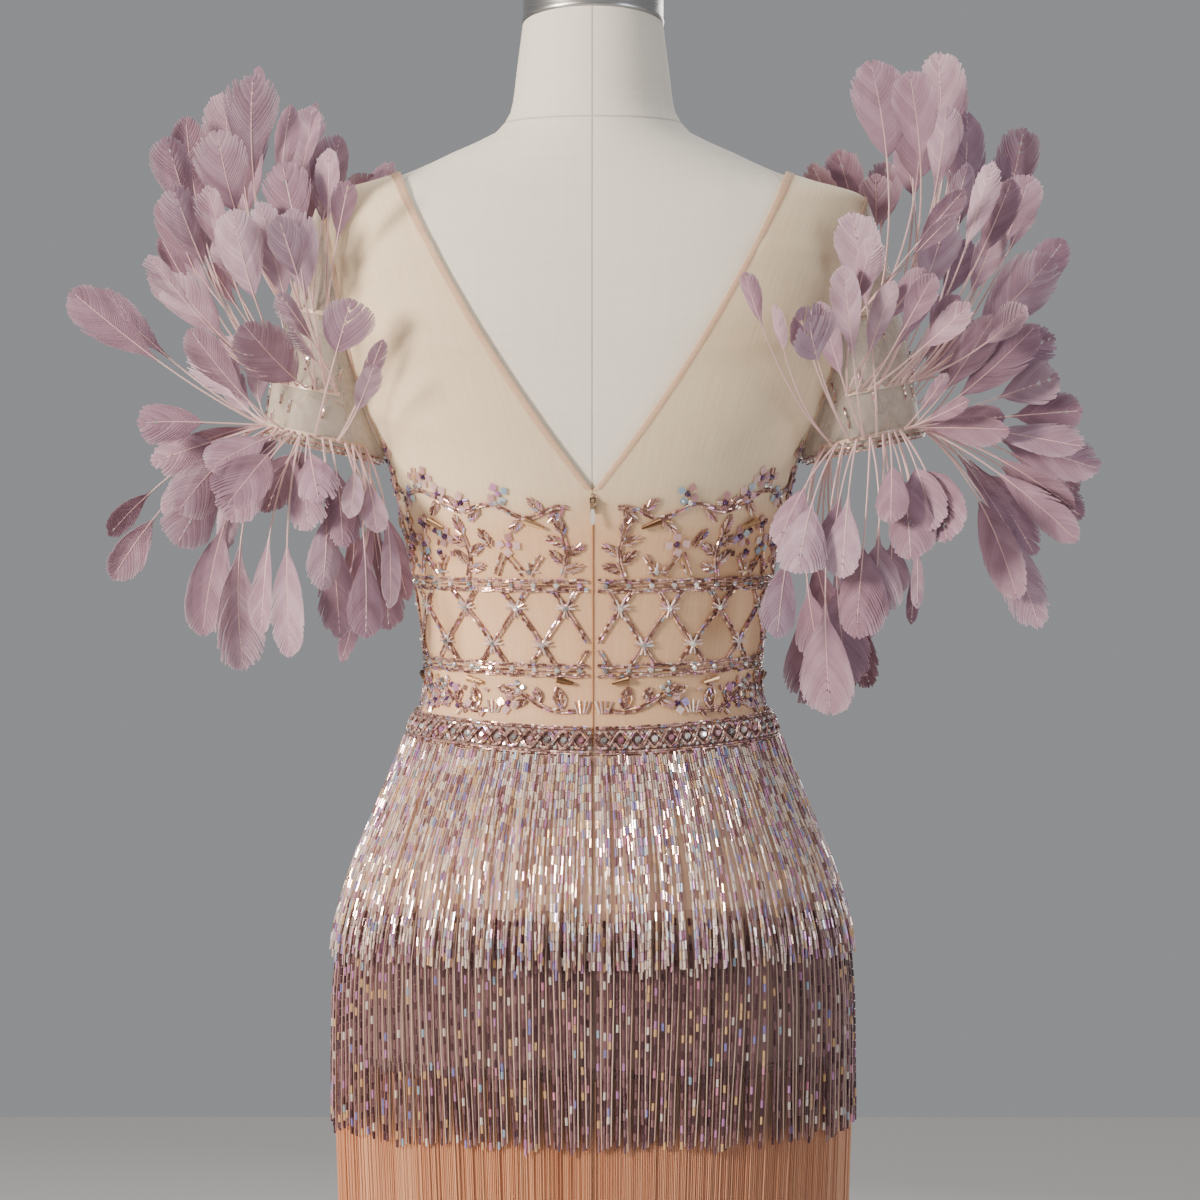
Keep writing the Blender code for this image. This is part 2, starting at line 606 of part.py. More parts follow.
def build_tier(tier):
    """A tape with its locks: each lock is drawn down from the underside of one stretch of the tape."""
    chance = random.Random(tier.name)
    stretches = tier.locks
    if tier.open_back:
        angles = round_from_zip(stretches + 1, ZIP_OPENING)
        columns = stretches + 1
    else:
        angles = QUARTER + np.arange(stretches) * 2 * math.pi / stretches
        columns = stretches
    top = TAPE_TOPS[tier.name]
    tops = band_low(angles) - 2 * SEAM if top is None else np.full(columns, top)
    points = []
    for height, lift in ((tops - TAPE_HEIGHT, 0.0), (tops - TAPE_HEIGHT, tier.thick), (tops, tier.thick), (tops, 0.0)):
        points.append(body_point(angles, height, np.full(columns, TRIM_LIFT + lift)))
    # Four corners for each column: low inside, low outside, top outside, top inside.
    corners = [tuple(row[column]) for column in range(columns) for row in points]
    faces = []
    for stretch in range(stretches):
        here = 4 * stretch
        after = 4 * ((stretch + 1) % columns)
        for a, b in ((1, 2), (2, 3), (3, 0)):
            faces.append((here + a, after + a, after + b, here + b))
        start = angles[stretch]
        turn = (angles[1] - angles[0])
        middle = start + turn / 2
        ring = [here, here + 1, after + 1, after]
        tip_drop = chance.uniform(-tier.uneven, tier.uneven)
        for number, (height, lift) in enumerate(tier.knots):
            share = 1 + (tier.tip_width - 1) * min(1.0, (number + 1.6) / len(tier.knots))
            level = height + (tip_drop if number == len(tier.knots) - 1 else 0.0)
            half = turn / 2 * share
            places = ((middle - half, lift), (middle - half, lift + tier.thick),
                      (middle + half, lift + tier.thick), (middle + half, lift))
            new = list(range(len(corners), len(corners) + 4))
            corners += [tuple(body_point(place, level, rise)) for place, rise in places]
            for k in range(4):
                after_k = (k + 1) % 4
                faces.append((ring[k], ring[after_k], new[after_k], new[k]))
            ring = new
        faces.append(tuple(ring))
    if tier.open_back:
        faces.append((0, 1, 2, 3))
        last = 4 * stretches
        faces.append((last + 3, last + 2, last + 1, last))
    add_solid(tier.name, corners, consistent(faces), material(tier.name, tier.colour, 0.3))


def consistent(faces):
    """The same faces, each turned so that neighbours agree, starting from the first."""
    by_edge = {}
    for index, face in enumerate(faces):
        for a, b in zip(face, face[1:] + face[:1]):
            by_edge.setdefault(frozenset((a, b)), []).append(index)
    turned = {0: tuple(faces[0])}
    waiting = [0]
    while waiting:
        current = waiting.pop()
        face = turned[current]
        for a, b in zip(face, face[1:] + face[:1]):
            for other in by_edge[frozenset((a, b))]:
                if other in turned:
                    continue
                shape = tuple(faces[other])
                same_way = (a, b) in zip(shape, shape[1:] + shape[:1])
                turned[other] = tuple(reversed(shape)) if same_way else shape
                waiting.append(other)
    return [turned[index] for index in range(len(faces))]


# Zip

def zip_tape(name, side):
    """One tape of the zip, between the form and the tulle, seen through it."""
    levels = np.linspace(0.930, V_POINT - 0.004, 12)
    angles = []
    for level in levels:
        angles.append([angle_at_across(across, level, 1) for across in (0.0120, 0.0006)])
    angles = np.array(angles)
    heights = np.repeat(levels[:, None], 2, axis=1)
    if side < 0:
        angles = mirror_angles(angles)
    add_body_wall(name, angles, heights, 0.0, 0.0009, material("zip tape", PEACH, 0.7))


SLIDER_TOP = 1.1745
SLIDER_LENGTH = 0.0105
SLIDER_HALF = 0.0022
SLIDER_LIFT = 0.0038
SLIDER_THICK = 0.0018
BAIL_RADIUS = 0.00045
EYE_RADIUS = 0.00080
BAIL_LIFT = 0.0078       # lift of the bail's bar, which is the pull tab's axis
BAIL_HEIGHT = 1.1725
TAB_LENGTH = 0.0165
TAB_HALF = 0.0015
TAB_THICK = 0.0008


def bail_axis():
    """The middle of the bail's bar."""
    return body_point(QUARTER, BAIL_HEIGHT, BAIL_LIFT)


def build_slider():
    """The slider: a small plate on the seam, with two cheeks that hold the bail's bar."""
    steel = material("zip metal", (0.70, 0.66, 0.60), 0.25, 1.0)
    bar = bail_axis()
    top = body_point(QUARTER, SLIDER_TOP, SLIDER_LIFT)
    low = body_point(QUARTER, SLIDER_TOP - SLIDER_LENGTH, SLIDER_LIFT)
    along = (low - top) / np.linalg.norm(low - top)
    out = np.cross(along, (1.0, 0.0, 0.0))
    if out[1] < 0:
        out = -out
    across = np.array((1.0, 0.0, 0.0))

    def at(x, down, rise):
        return top + across * x + along * down + out * rise

    # The plate, narrower at its lower end.
    plate = []
    for rise in (0.0, SLIDER_THICK):
        plate.append([at(-SLIDER_HALF, 0.0, rise), at(SLIDER_HALF, 0.0, rise),
                      at(SLIDER_HALF * 0.7, SLIDER_LENGTH, rise), at(-SLIDER_HALF * 0.7, SLIDER_LENGTH, rise)])
    body = add_rings("zip_slider", plate, steel)

    # Cheeks and bar are joined to the plate.
    bar_down = float(np.dot(bar - top, along))
    bar_rise = float(np.dot(bar - top, out))
    cheek_inner = 0.00135
    cheek_outer = 0.0020
    for side in (-1, 1):
        cheek = []
        for x in (side * cheek_inner, side * cheek_outer):
            cheek.append([at(x, bar_down - 0.0012, SLIDER_THICK - 0.0004), at(x, bar_down + 0.0012, SLIDER_THICK - 0.0004),
                          at(x, bar_down + 0.0007, bar_rise + 0.0007), at(x, bar_down - 0.0007, bar_rise + 0.0007)])
        join(body, add_rings(f"cheek {side}", cheek, steel))
    ends = []
    for x in (-cheek_outer + 0.0002, cheek_outer - 0.0002):
        turns = [2 * math.pi * step / 10 for step in range(10)]
        ends.append([at(x, bar_down + BAIL_RADIUS * math.cos(turn), bar_rise + BAIL_RADIUS * math.sin(turn))
                     for turn in turns])
    join(body, add_rings("bail bar", ends, steel))


def join(body, piece):
    """Unite a piece with a body and drop the piece."""
    piece.hide_render = True
    piece.display_type = 'WIRE'
    union = body.modifiers.new(piece.name, 'BOOLEAN')
    union.operation = 'UNION'
    union.object = piece


def build_pull_tab():
    """The tab hangs straight down from the bar, with a round eye about it."""
    bar = bail_axis()
    head = 0.00125
    sides = 12
    turns = [2 * math.pi * step / sides for step in range(sides)]
    # The outline of the tab seen from the side of the bar is a round eye; it is widened below.
    half_eye = 0.0010
    eye_out = [(head * math.cos(turn), head * math.sin(turn)) for turn in turns]
    eye_in = [(EYE_RADIUS * math.cos(turn), EYE_RADIUS * math.sin(turn)) for turn in turns]
    points = []
    for x in (-half_eye, half_eye):
        points += [(bar[0] + x, bar[1] + y, bar[2] + z) for y, z in eye_out]
    for x in (-half_eye, half_eye):
        points += [(bar[0] + x, bar[1] + y, bar[2] + z) for y, z in eye_in]
    faces = []
    for step in range(sides):
        after = (step + 1) % sides
        faces.append((step, after, sides + after, sides + step))
        faces.append((2 * sides + after, 2 * sides + step, 3 * sides + step, 3 * sides + after))
        faces.append((after, step, 2 * sides + step, 2 * sides + after))
        faces.append((sides + step, sides + after, 3 * sides + after, 3 * sides + step))
    steel = material("pull tab", (0.82, 0.78, 0.72), 0.3, 0.6)
    tab = add_solid("zip_pull_tab", points, consistent(faces), steel)

    # The flat of the tab, from just inside the eye's lower wall.
    profile = ((-0.00095, 0.0009), (-0.0028, TAB_HALF * 0.8), (-TAB_LENGTH + 0.002, TAB_HALF),
               (-TAB_LENGTH, TAB_HALF * 0.6))
    rings = []
    for down, half in profile:
        rings.append([(bar[0] + x, bar[1] + y, bar[2] + down) for x, y in
                      ((-half, -TAB_THICK / 2), (half, -TAB_THICK / 2), (half, TAB_THICK / 2), (-half, TAB_THICK / 2))])
    join(tab, add_rings("tab flat", rings, steel))


# Sleeves

def armhole_ring(turn):
    """Angle and height on the armhole for a turn round the sleeve: 0 at the shoulder, 90 degrees behind."""
    wrapped = (turn + math.pi) % (2 * math.pi) - math.pi
    side = 1 if wrapped >= 0 else -1
    return armhole_edge(1 - abs(wrapped) / math.pi, side)


@lru_cache(maxsize=None)
def sleeve_start(turn):
    """Where the sleeve leaves the armhole."""
    angle, height = armhole_ring(turn)
    below = max(0.0, -math.cos(turn)) * 2 * CLOTH
    return body_point(angle, height, SKIN + CLOTH + 2 * SEAM + below)


def sleeve_cuff(turn):
    x, y, z = CUFF_MIDDLE
    return np.array((x + CUFF_HALF_WIDTH * math.cos(turn), y + CUFF_HALF_DEPTH * math.sin(turn),
                     z + CUFF_RISE * math.cos(turn)))


def sleeve_point(turn, share, lift=0.0):
    """A point on the wearer's left sleeve, a share of the way from the armhole to the cuff."""
    def bare(at_turn, at_share):
        start = sleeve_start(at_turn)
        end = sleeve_cuff(at_turn)
        outward = np.array((math.cos(at_turn), math.sin(at_turn), 0.0))
        return start + (end - start) * at_share + outward * SLEEVE_BULGE * 4 * at_share * (1 - at_share)

    if lift == 0.0:
        return bare(turn, share)
    small = 0.02
    round_way = bare(turn + small, share) - bare(turn - small, share)
    down_way = bare(turn, min(share + small, 1.0)) - bare(turn, max(share - small, 0.0))
    normal = np.cross(down_way, round_way)
    return bare(turn, share) + lift * normal / np.linalg.norm(normal)


def sleeve_share(turn, from_cuff):
    """The share of the sleeve's length that lies this far above the cuff."""
    length = np.linalg.norm(sleeve_cuff(turn) - sleeve_start(turn))
    return 1 - from_cuff / length


def on_side(point, side):
    return np.array((side * point[0], point[1], point[2]))


def build_sleeve(name, trim_name, side):
    # Its columns meet the rows of the bodice panels along the armhole.
    behind = [math.pi * (1 - share) for share in reversed(SHARES_ABOVE)]
    turns = behind + [2 * math.pi - turn for turn in reversed(behind[1:-1])]
    shares = np.linspace(0.0, 1.0, SLEEVE_ROWS)
    inner = [on_side(sleeve_point(turn, share), side) for share in shares for turn in turns]
    outer = [on_side(sleeve_point(turn, share, CLOTH), side) for share in shares for turn in turns]
    faces = grid_faces(SLEEVE_ROWS, len(turns), closed=True)
    add_wall(name, outer, inner, faces, material("organza", ORGANZA, 0.4))
    low = CLOTH + 3 * SEAM
    inner = []
    outer = []
    for from_cuff in (0.0045, 0.0):
        for turn in turns:
            share = sleeve_share(turn, from_cuff)
            inner.append(on_side(sleeve_point(turn, share, low), side))
            outer.append(on_side(sleeve_point(turn, share, low + 0.0016), side))
    add_wall(trim_name, outer, inner, grid_faces(2, len(turns), closed=True),
             material("bead edge", BEADS, 0.35, 0.4))


# Feathers

def plan_feathers(table):
    """The table's feathers and those that meet them at the front, grouped by tape and in order round it."""
    chance = random.Random(FEATHER_SEED)
    planned = []
    for number, feather in enumerate(table):
        planned.append((feather, chance.uniform(-0.5, 0.5), chance.uniform(-1, 1)))
        if number % FRONT_EVERY == 2 and feather.back > 0:
            front = feather._replace(out=feather.out - 0.004, back=-feather.back - 0.012)
            planned.append((front, chance.uniform(-0.5, 0.5), chance.uniform(-1, 1)))
    return planned


def tip_turn(feather):
    return math.atan2(feather.back, feather.out - CUFF_MIDDLE[0])


def root_turns(planned, band_name):
    """The turn of each root on one tape: the back and the front share their feathers out evenly."""
    widest = BANDS[band_name].widest
    turns = {}
    for side in (1, -1):
        group = [index for index, (feather, _, _) in enumerate(planned)
                 if feather.band == band_name and (feather.back > 0) == (side > 0)]
        group.sort(key=lambda index: abs(tip_turn(planned[index][0])))
        for place, index in enumerate(group):
            turns[index] = side * widest * (place + 0.5) / len(group)
    return turns


def feather_path(root, leave, feather, shift, samples):
    """Points along the shaft: it leaves the tape outward and bends towards its tip."""
    tip = np.array((feather.out, feather.back + shift, feather.up))
    reach = np.linalg.norm(tip - root)
    heading = (tip - root) / reach
    first = heading + 0.55 * leave
    first = first / np.linalg.norm(first)
    control = root + first * reach * 0.42
    t = np.linspace(0, 1, samples)[:, None]
    return root * (1 - t)**2 + 2 * control * t * (1 - t) + tip * t**2, reach


def feather_frame(path, index, roll):
    """Heading, width and thickness directions of the feather at one of its points."""
    before = path[max(index - 1, 0)]
    after = path[min(index + 1, len(path) - 1)]
    heading = (after - before) / np.linalg.norm(after - before)
    wide = np.cross(heading, (0.0, 1.0, 0.0))
    if np.linalg.norm(wide) < 0.2:
        wide = np.cross(heading, (1.0, 0.0, 0.0))
    wide = wide / np.linalg.norm(wide)
    thick = np.cross(heading, wide)
    turned = wide * math.cos(roll) + thick * math.sin(roll)
    return heading, turned, np.cross(heading, turned)


def blade_half(feather, share):
    """Half the width of the blade at a share of its length."""
    places = [place for place, _ in BLADE_SHAPE]
    widths = [width for _, width in BLADE_SHAPE]
    return feather.width / 2 * np.interp(share, places, widths)


def feather_samples(path, reach, feather, roll):
    """Points over a feather and how much room each of them needs, to keep feathers apart."""
    blade_start = 1 - feather.blade / reach
    points = []
    rooms = []
    count = len(path)
    for index in range(count):
        t = index / (count - 1)
        if t < blade_start:
            points.append(path[index])
            rooms.append(0.0013)
            continue
        _, wide, _ = feather_frame(path, index, roll)
        half = blade_half(feather, (t - blade_start) / (1 - blade_start))
        for across in np.arange(-half, half + 1e-6, max(half / 3, 0.002)):
            points.append(path[index] + wide * across)
            rooms.append(0.0029)
    return np.array(points), np.array(rooms)


def outside_body(points, room):
    """Whether every point lies clear of the dressed form."""
    inside_height = points[points[:, 2] < 1.45]
    line = side_line(inside_height[:, 2])
    angle = np.arctan2(inside_height[:, 1] - line, inside_height[:, 0])
    surface = bare_point(angle, inside_height[:, 2])
    own = np.hypot(inside_height[:, 0], inside_height[:, 1] - line)
    limit = np.hypot(surface[:, 0], surface[:, 1] - line)
    return bool(np.all(own > limit + room))


def sleeve_samples():
    turns = np.linspace(-math.pi, math.pi, 72)
    return np.array([sleeve_point(turn, share, CLOTH) for turn in turns for share in np.linspace(0, 1, 26)])


MOST_ROOM = 0.006        # twice the room of the widest sample


def clear_of(points, rooms, others, other_rooms):
    near = np.all((others > points.min(axis=0) - MOST_ROOM) & (others < points.max(axis=0) + MOST_ROOM), axis=1)
    others = others[near]
    other_rooms = other_rooms[near]
    if len(others) == 0:
        return True
    for start in range(0, len(points), 40):
        gaps = np.linalg.norm(points[start:start + 40, None, :] - others[None, :, :], axis=-1)
        if np.any(gaps < rooms[start:start + 40, None] + other_rooms[None, :]):
            return False
    return True


SHAFT_SAMPLES = 44
SHIFTS = (0.0, 0.008, -0.008, 0.016, -0.016, 0.024, -0.024, 0.032, -0.032, 0.040, 0.048)


def settle_feathers(table):
    """Each feather's root, path and roll on the left sleeve. One that would cross another moves back or forth."""
    planned = plan_feathers(table)
    turns = {}
    for band_name in BANDS:
        turns.update(root_turns(planned, band_name))
    sleeve = sleeve_samples()
    sleeve_rooms = np.full(len(sleeve), 0.0022)
    taken = np.zeros((0, 3))
    taken_rooms = np.zeros(0)
    settled = []
    for index, (feather, roll, curl) in enumerate(planned):
        band = BANDS[feather.band]
        turn = turns[index]
        share = sleeve_share(turn, band.from_cuff + band.height / 2)
        root = sleeve_point(turn, share, CLOTH + TAPE_LIFT + TAPE_THICK)
        leave = root - sleeve_point(turn, share, CLOTH)
        leave = leave / np.linalg.norm(leave)
        for shift in SHIFTS:
            path, reach = feather_path(root, leave, feather, shift, SHAFT_SAMPLES)
            points, rooms = feather_samples(path, reach, feather, roll)
            free = points[3:], rooms[3:]
            if not outside_body(free[0], 0.0075):
                continue
            if not clear_of(free[0], free[1], sleeve, sleeve_rooms):
                continue
            if clear_of(free[0], free[1], taken, taken_rooms):
                settled.append((feather, turn, path, reach, roll, curl))
                taken = np.concatenate([taken, points])
                taken_rooms = np.concatenate([taken_rooms, rooms])
                break
    return settled


def feather_rings(path, reach, feather, roll):
    """Four-cornered rings of a feather, from the foot of its quill to its tip."""
    blade_start = 1 - feather.blade / reach
    shares = [(blade_start * 0.40, None)]
    shares += [(blade_start + (1 - blade_start) * place, place) for place, _ in BLADE_SHAPE]
    rings = []
    for share, blade_place in shares:
        index = int(round(share * (len(path) - 1)))
        _, wide, thick = feather_frame(path, index, roll)
        half = QUILL_HALF
        deep = QUILL_THICK / 2
        if blade_place is not None:
            half = max(QUILL_HALF, float(blade_half(feather, blade_place)))
            deep = FEATHER_THICK / 2
        centre = path[index]
        rings.append([centre + wide * half, centre + thick * deep, centre - wide * half, centre - thick * deep])
    return rings


def build_feather_row(name, band_name, settled, side):
    """One tape round the sleeve with its feathers, each drawn out of a short stretch of the tape's face."""
    band = BANDS[band_name]
    own = sorted((entry for entry in settled if entry[0].band == band_name), key=lambda entry: entry[1])
    columns = []
    for entry in own:
        turn = entry[1]
        step = 0.01
        arc = np.linalg.norm(sleeve_point(turn + step, 0.8) - sleeve_point(turn - step, 0.8)) / (2 * step)
        half = ROOT_HALF / arc
        if columns:
            before = columns[-1][0]
            steps = int((turn - half - before) / WIDEST_GAP)
            columns += [(before + (turn - half - before) * (k + 1) / (steps + 1), None) for k in range(steps)]
        columns += [(turn - half, entry), (turn + half, None)]
    points = []
    for turn, _ in columns:
        high_share = sleeve_share(turn, band.from_cuff + band.height)
        low_share = sleeve_share(turn, band.from_cuff)
        low = CLOTH + TAPE_LIFT
        points += [sleeve_point(turn, low_share, low), sleeve_point(turn, low_share, low + TAPE_THICK),
                   sleeve_point(turn, high_share, low + TAPE_THICK), sleeve_point(turn, high_share, low)]
    faces = [(0, 1, 2, 3)]
    for stretch in range(len(columns) - 1):
        here = 4 * stretch
        after = here + 4
        for a, b in ((0, 1), (2, 3), (3, 0)):
            faces.append((here + a, after + a, after + b, here + b))
        face = (here + 1, after + 1, after + 2, here + 2)
        entry = columns[stretch][1]
        if entry is None:
            faces.append(face)
            continue
        feather, _, path, reach, roll, _ = entry
        ring = list(face)
        for corners in feather_rings(path, reach, feather, roll):
            corners = match_corners([points[index] for index in ring], corners)
            new = list(range(len(points), len(points) + 4))
            points += corners
            for k in range(4):
                after_k = (k + 1) % 4
                faces.append((ring[k], ring[after_k], new[after_k], new[k]))
            ring = new
        faces.append(tuple(ring))
    last = 4 * (len(columns) - 1)
    faces.append((last, last + 1, last + 2, last + 3))
    add_solid(name, [on_side(point, side) for point in points], consistent(faces),
              material("feather", FEATHER_PINK, 0.6))


def match_corners(before, corners):
    """The next ring's corners in the order and direction that twist the loft least."""
    best = None
    middle_before = np.mean(before, axis=0)
    middle_after = np.mean(corners, axis=0)
    for order in (corners, corners[::-1]):
        for first in range(4):
            turned = order[first:] + order[:first]
            twist = sum(np.linalg.norm((a - middle_before) - (b - middle_after)) for a, b in zip(before, turned))
            if best is None or twist < best[0]:
                best = (twist, turned)
    return best[1]


def build_feathers():
    for table, side, word in ((LEFT_FEATHERS, 1, "left"), (RIGHT_FEATHERS, -1, "right")):
        settled = settle_feathers(table)
        print(word, "feathers settled:", len(settled), "of", len(plan_feathers(table)))
        for band_name in BANDS:
            build_feather_row(f"feather_row_{band_name}_{word}", band_name, settled, side)


# Whole dress

def build_all():
    for old in list(bpy.data.objects):
        bpy.data.objects.remove(old)
    build_stand()
    build_form()
    zip_tape("zip_tape_left", 1)
    zip_tape("zip_tape_right", -1)
    build_bodice()
    build_bindings()
    build_skirt()
    for tier in TIERS:
        build_tier(tier)
    build_waist_band()
    build_slider()
    build_pull_tab()
    build_sleeve("sleeve_left", "cuff_trim_left", 1)
    build_sleeve("sleeve_right", "cuff_trim_right", -1)
    build_feathers()


build_all()
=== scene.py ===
import math
import random
from collections import namedtuple
from functools import lru_cache

import bmesh
import bpy
import numpy as np
from mathutils import Matrix, Vector, noise


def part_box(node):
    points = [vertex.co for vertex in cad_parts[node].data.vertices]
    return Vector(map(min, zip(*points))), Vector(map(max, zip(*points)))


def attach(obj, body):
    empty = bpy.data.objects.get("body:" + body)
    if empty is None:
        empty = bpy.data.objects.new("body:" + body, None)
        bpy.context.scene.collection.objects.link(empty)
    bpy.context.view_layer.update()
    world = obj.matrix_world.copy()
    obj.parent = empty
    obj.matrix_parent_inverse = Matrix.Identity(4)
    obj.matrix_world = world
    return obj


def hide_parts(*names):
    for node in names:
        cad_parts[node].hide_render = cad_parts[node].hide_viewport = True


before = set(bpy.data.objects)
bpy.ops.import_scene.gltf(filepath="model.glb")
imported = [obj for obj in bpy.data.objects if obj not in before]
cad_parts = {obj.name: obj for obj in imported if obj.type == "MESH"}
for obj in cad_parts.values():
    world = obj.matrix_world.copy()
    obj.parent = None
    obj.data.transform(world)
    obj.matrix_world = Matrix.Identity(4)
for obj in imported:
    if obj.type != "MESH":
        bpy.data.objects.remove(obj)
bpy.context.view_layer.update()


# The studio
# A pale floor that the stand's foot rests on, soft light from the left and above, and a camera behind the
# dress at the height of its shoulder blades.

def place(tree, kind, inputs, **settings):
    """Adds a node. An input is a plain value, or the output of another node to link."""
    made = tree.nodes.new(kind)
    for key, value in settings.items():
        setattr(made, key, value)
    for key, value in inputs.items():
        if isinstance(value, bpy.types.NodeSocket):
            tree.links.new(value, made.inputs[key])
        else:
            made.inputs[key].default_value = value
    return made
def result(tree, kind, inputs, **settings):
    """A new node's first output."""
    return place(tree, kind, inputs, **settings).outputs[0]


def sums(tree, operation, *values):
    """A Math node's output."""
    return result(tree, "ShaderNodeMath", dict(enumerate(values)), operation=operation)


def scaled(tree, value, factor, added):
    """A value times a factor, with something added."""
    return sums(tree, 'MULTIPLY_ADD', value, factor, added)


def between(tree, share, first, second):
    """A colour between two, by a share from 0 to 1."""
    return place(tree, "ShaderNodeMix", {0: share, 6: first, 7: second}, data_type='RGBA').outputs[2]


def cloudy(tree, where, scale, detail, distortion=0.0):
    """Soft noise at a place, from 0 to 1."""
    return result(tree, "ShaderNodeTexNoise", {"Vector": where, "Scale": scale, "Detail": detail,
                                               "Distortion": distortion})


def attribute(tree, name):
    """A number that the mesh carries."""
    return place(tree, "ShaderNodeAttribute", {}, attribute_name=name).outputs["Fac"]


def new_group(name, kind, inputs, outputs):
    """A node group whose sockets are given with their kinds: the group, what comes in and what goes out."""
    group = bpy.data.node_groups.new(name, kind)
    for way, sockets in (('INPUT', inputs), ('OUTPUT', outputs)):
        for socket, socket_kind in sockets.items():
            group.interface.new_socket(socket, in_out=way, socket_type="NodeSocket" + socket_kind)
    return group, group.nodes.new("NodeGroupInput").outputs, group.nodes.new("NodeGroupOutput").inputs


def new_finish(name, **values):
    """A material, its node tree and its Principled shader, with plain values set on the shader's sockets."""
    made = bpy.data.materials.new(name)
    made.use_nodes = True
    tree = made.node_tree
    shader = tree.nodes["Principled BSDF"]
    for socket, value in values.items():
        shader.inputs[socket.replace("_", " ").title().replace("Ior", "IOR")].default_value = value
    return made, tree, shader


def bump(tree, shader, height, distance, strength=1.0):
    made = place(tree, "ShaderNodeBump", {"Height": height, "Distance": distance, "Strength": strength})
    tree.links.new(made.outputs["Normal"], shader.inputs["Normal"])


def make_piece(name, points, faces, finish, uvs=None, smooth=True):
    """A mesh object at the origin. A uv is given for each point, or for each corner of each face."""
    mesh = bpy.data.meshes.new(name)
    mesh.from_pydata(np.asarray(points).reshape(-1, 3).tolist(), [], faces)
    if uvs is not None:
        layer = mesh.uv_layers.new(name="Cloth")
        uvs = np.asarray(uvs, dtype=np.float32).reshape(-1, 2)
        if len(uvs) == len(mesh.vertices):
            uvs = uvs[np.concatenate(faces)]
        layer.data.foreach_set("uv", uvs.ravel())
    mesh.materials.append(finish)
    if smooth:
        mesh.shade_smooth()
    made = bpy.data.objects.new(name, mesh)
    bpy.context.scene.collection.objects.link(made)
    return made


FLOOR_HALF = 4.0
floor_finish, _, _ = new_finish("pale floor", base_color=(0.86, 0.85, 0.83, 1), roughness=0.8)
floor_corners = [(FLOOR_HALF * x, FLOOR_HALF * y, -0.0005) for x, y in ((-1, -1), (1, -1), (1, 1), (-1, 1))]
floor = make_piece("floor", floor_corners, [(0, 1, 2, 3)], floor_finish)

world = bpy.data.worlds.new("soft studio")
bpy.context.scene.world = world
world.use_nodes = True
sky = world.node_tree.nodes["Background"].inputs
sky["Color"].default_value = (0.86, 0.87, 0.90, 1)
sky["Strength"].default_value = 0.33

CHEST = (0.0, 0.0, 1.10)
for name, stands_at, size, power, colour in (
        ("key light", (2.0, 1.5, 1.75), 0.7, 118, (1.0, 0.90, 0.79)),
        ("cool side light", (-2.2, 1.4, 1.5), 0.9, 15, (0.86, 0.91, 1.0)),
        ("top light", (0.3, 0.6, 3.0), 1.2, 18, (1.0, 0.97, 0.93)),
        ("front light", (-0.8, -2.6, 2.0), 1.6, 34, (1.0, 0.96, 0.92))):
    lamp = bpy.data.lights.new(name, 'AREA')
    lamp.shape = 'DISK'
    lamp.size = size
    lamp.energy = power
    lamp.color = colour
    light = bpy.data.objects.new(name, lamp)
    light.location = stands_at
    light.rotation_euler = (Vector(CHEST) - light.location).to_track_quat('-Z', 'Y').to_euler()
    bpy.context.scene.collection.objects.link(light)

CAMERA_AWAY = 2.60
EYE_HEIGHT = 1.186
LOOKS_AT = (-0.0051, 0.0, 1.0984)
WIDTH_SEEN = 0.876       # at the middle of the body
camera_data = bpy.data.cameras.new("camera")
camera_data.sensor_width = 36.0
camera_data.lens = 36.0 * CAMERA_AWAY / WIDTH_SEEN
camera = bpy.data.objects.new("camera", camera_data)
camera.location = (LOOKS_AT[0], CAMERA_AWAY, EYE_HEIGHT)
camera.rotation_euler = (Vector(LOOKS_AT) - camera.location).to_track_quat('-Z', 'Y').to_euler()
bpy.context.scene.collection.objects.link(camera)
bpy.context.scene.camera = camera


# The stand
# A brushed steel pole with a round weighted foot. Both are turned, and the pole goes up into the form.

FOOT_RADIUS = 0.180
FOOT_HEIGHT = 0.022
COLLAR_RADIUS = 0.030
POLE_RADIUS = 0.016
POLE_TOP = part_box("stand_pole")[1][2]
TURNED_SIDES = 96


def grid_faces(rows, columns, closed=False):
    """Faces of a grid of points listed row by row; a closed grid joins its last column to its first."""
    last = columns if closed else columns - 1
    return [(row * columns + column, row * columns + (column + 1) % columns,
             (row + 1) * columns + (column + 1) % columns, (row + 1) * columns + column)
            for row in range(rows - 1) for column in range(last)]


def stacked_faces(rings, sides):
    """Faces of rings stacked upwards, closed at both ends."""
    top = (rings - 1) * sides
    ends = [tuple(reversed(range(sides))), tuple(range(top, top + sides))]
    return grid_faces(rings, sides, closed=True) + ends


def turned(name, profile, finish):
    """A solid turned round the Z axis, from its profile of radius and height, listed upwards."""
    turns = np.arange(TURNED_SIDES) * 2 * math.pi / TURNED_SIDES
    radius, height = np.array(profile).T[..., None]
    points = np.stack([radius * np.cos(turns), radius * np.sin(turns), height + 0 * turns], axis=-1)
    made = make_piece(name, points, stacked_faces(len(profile), TURNED_SIDES), finish)
    made.data.set_sharp_from_angle(angle=math.radians(40))
    return made


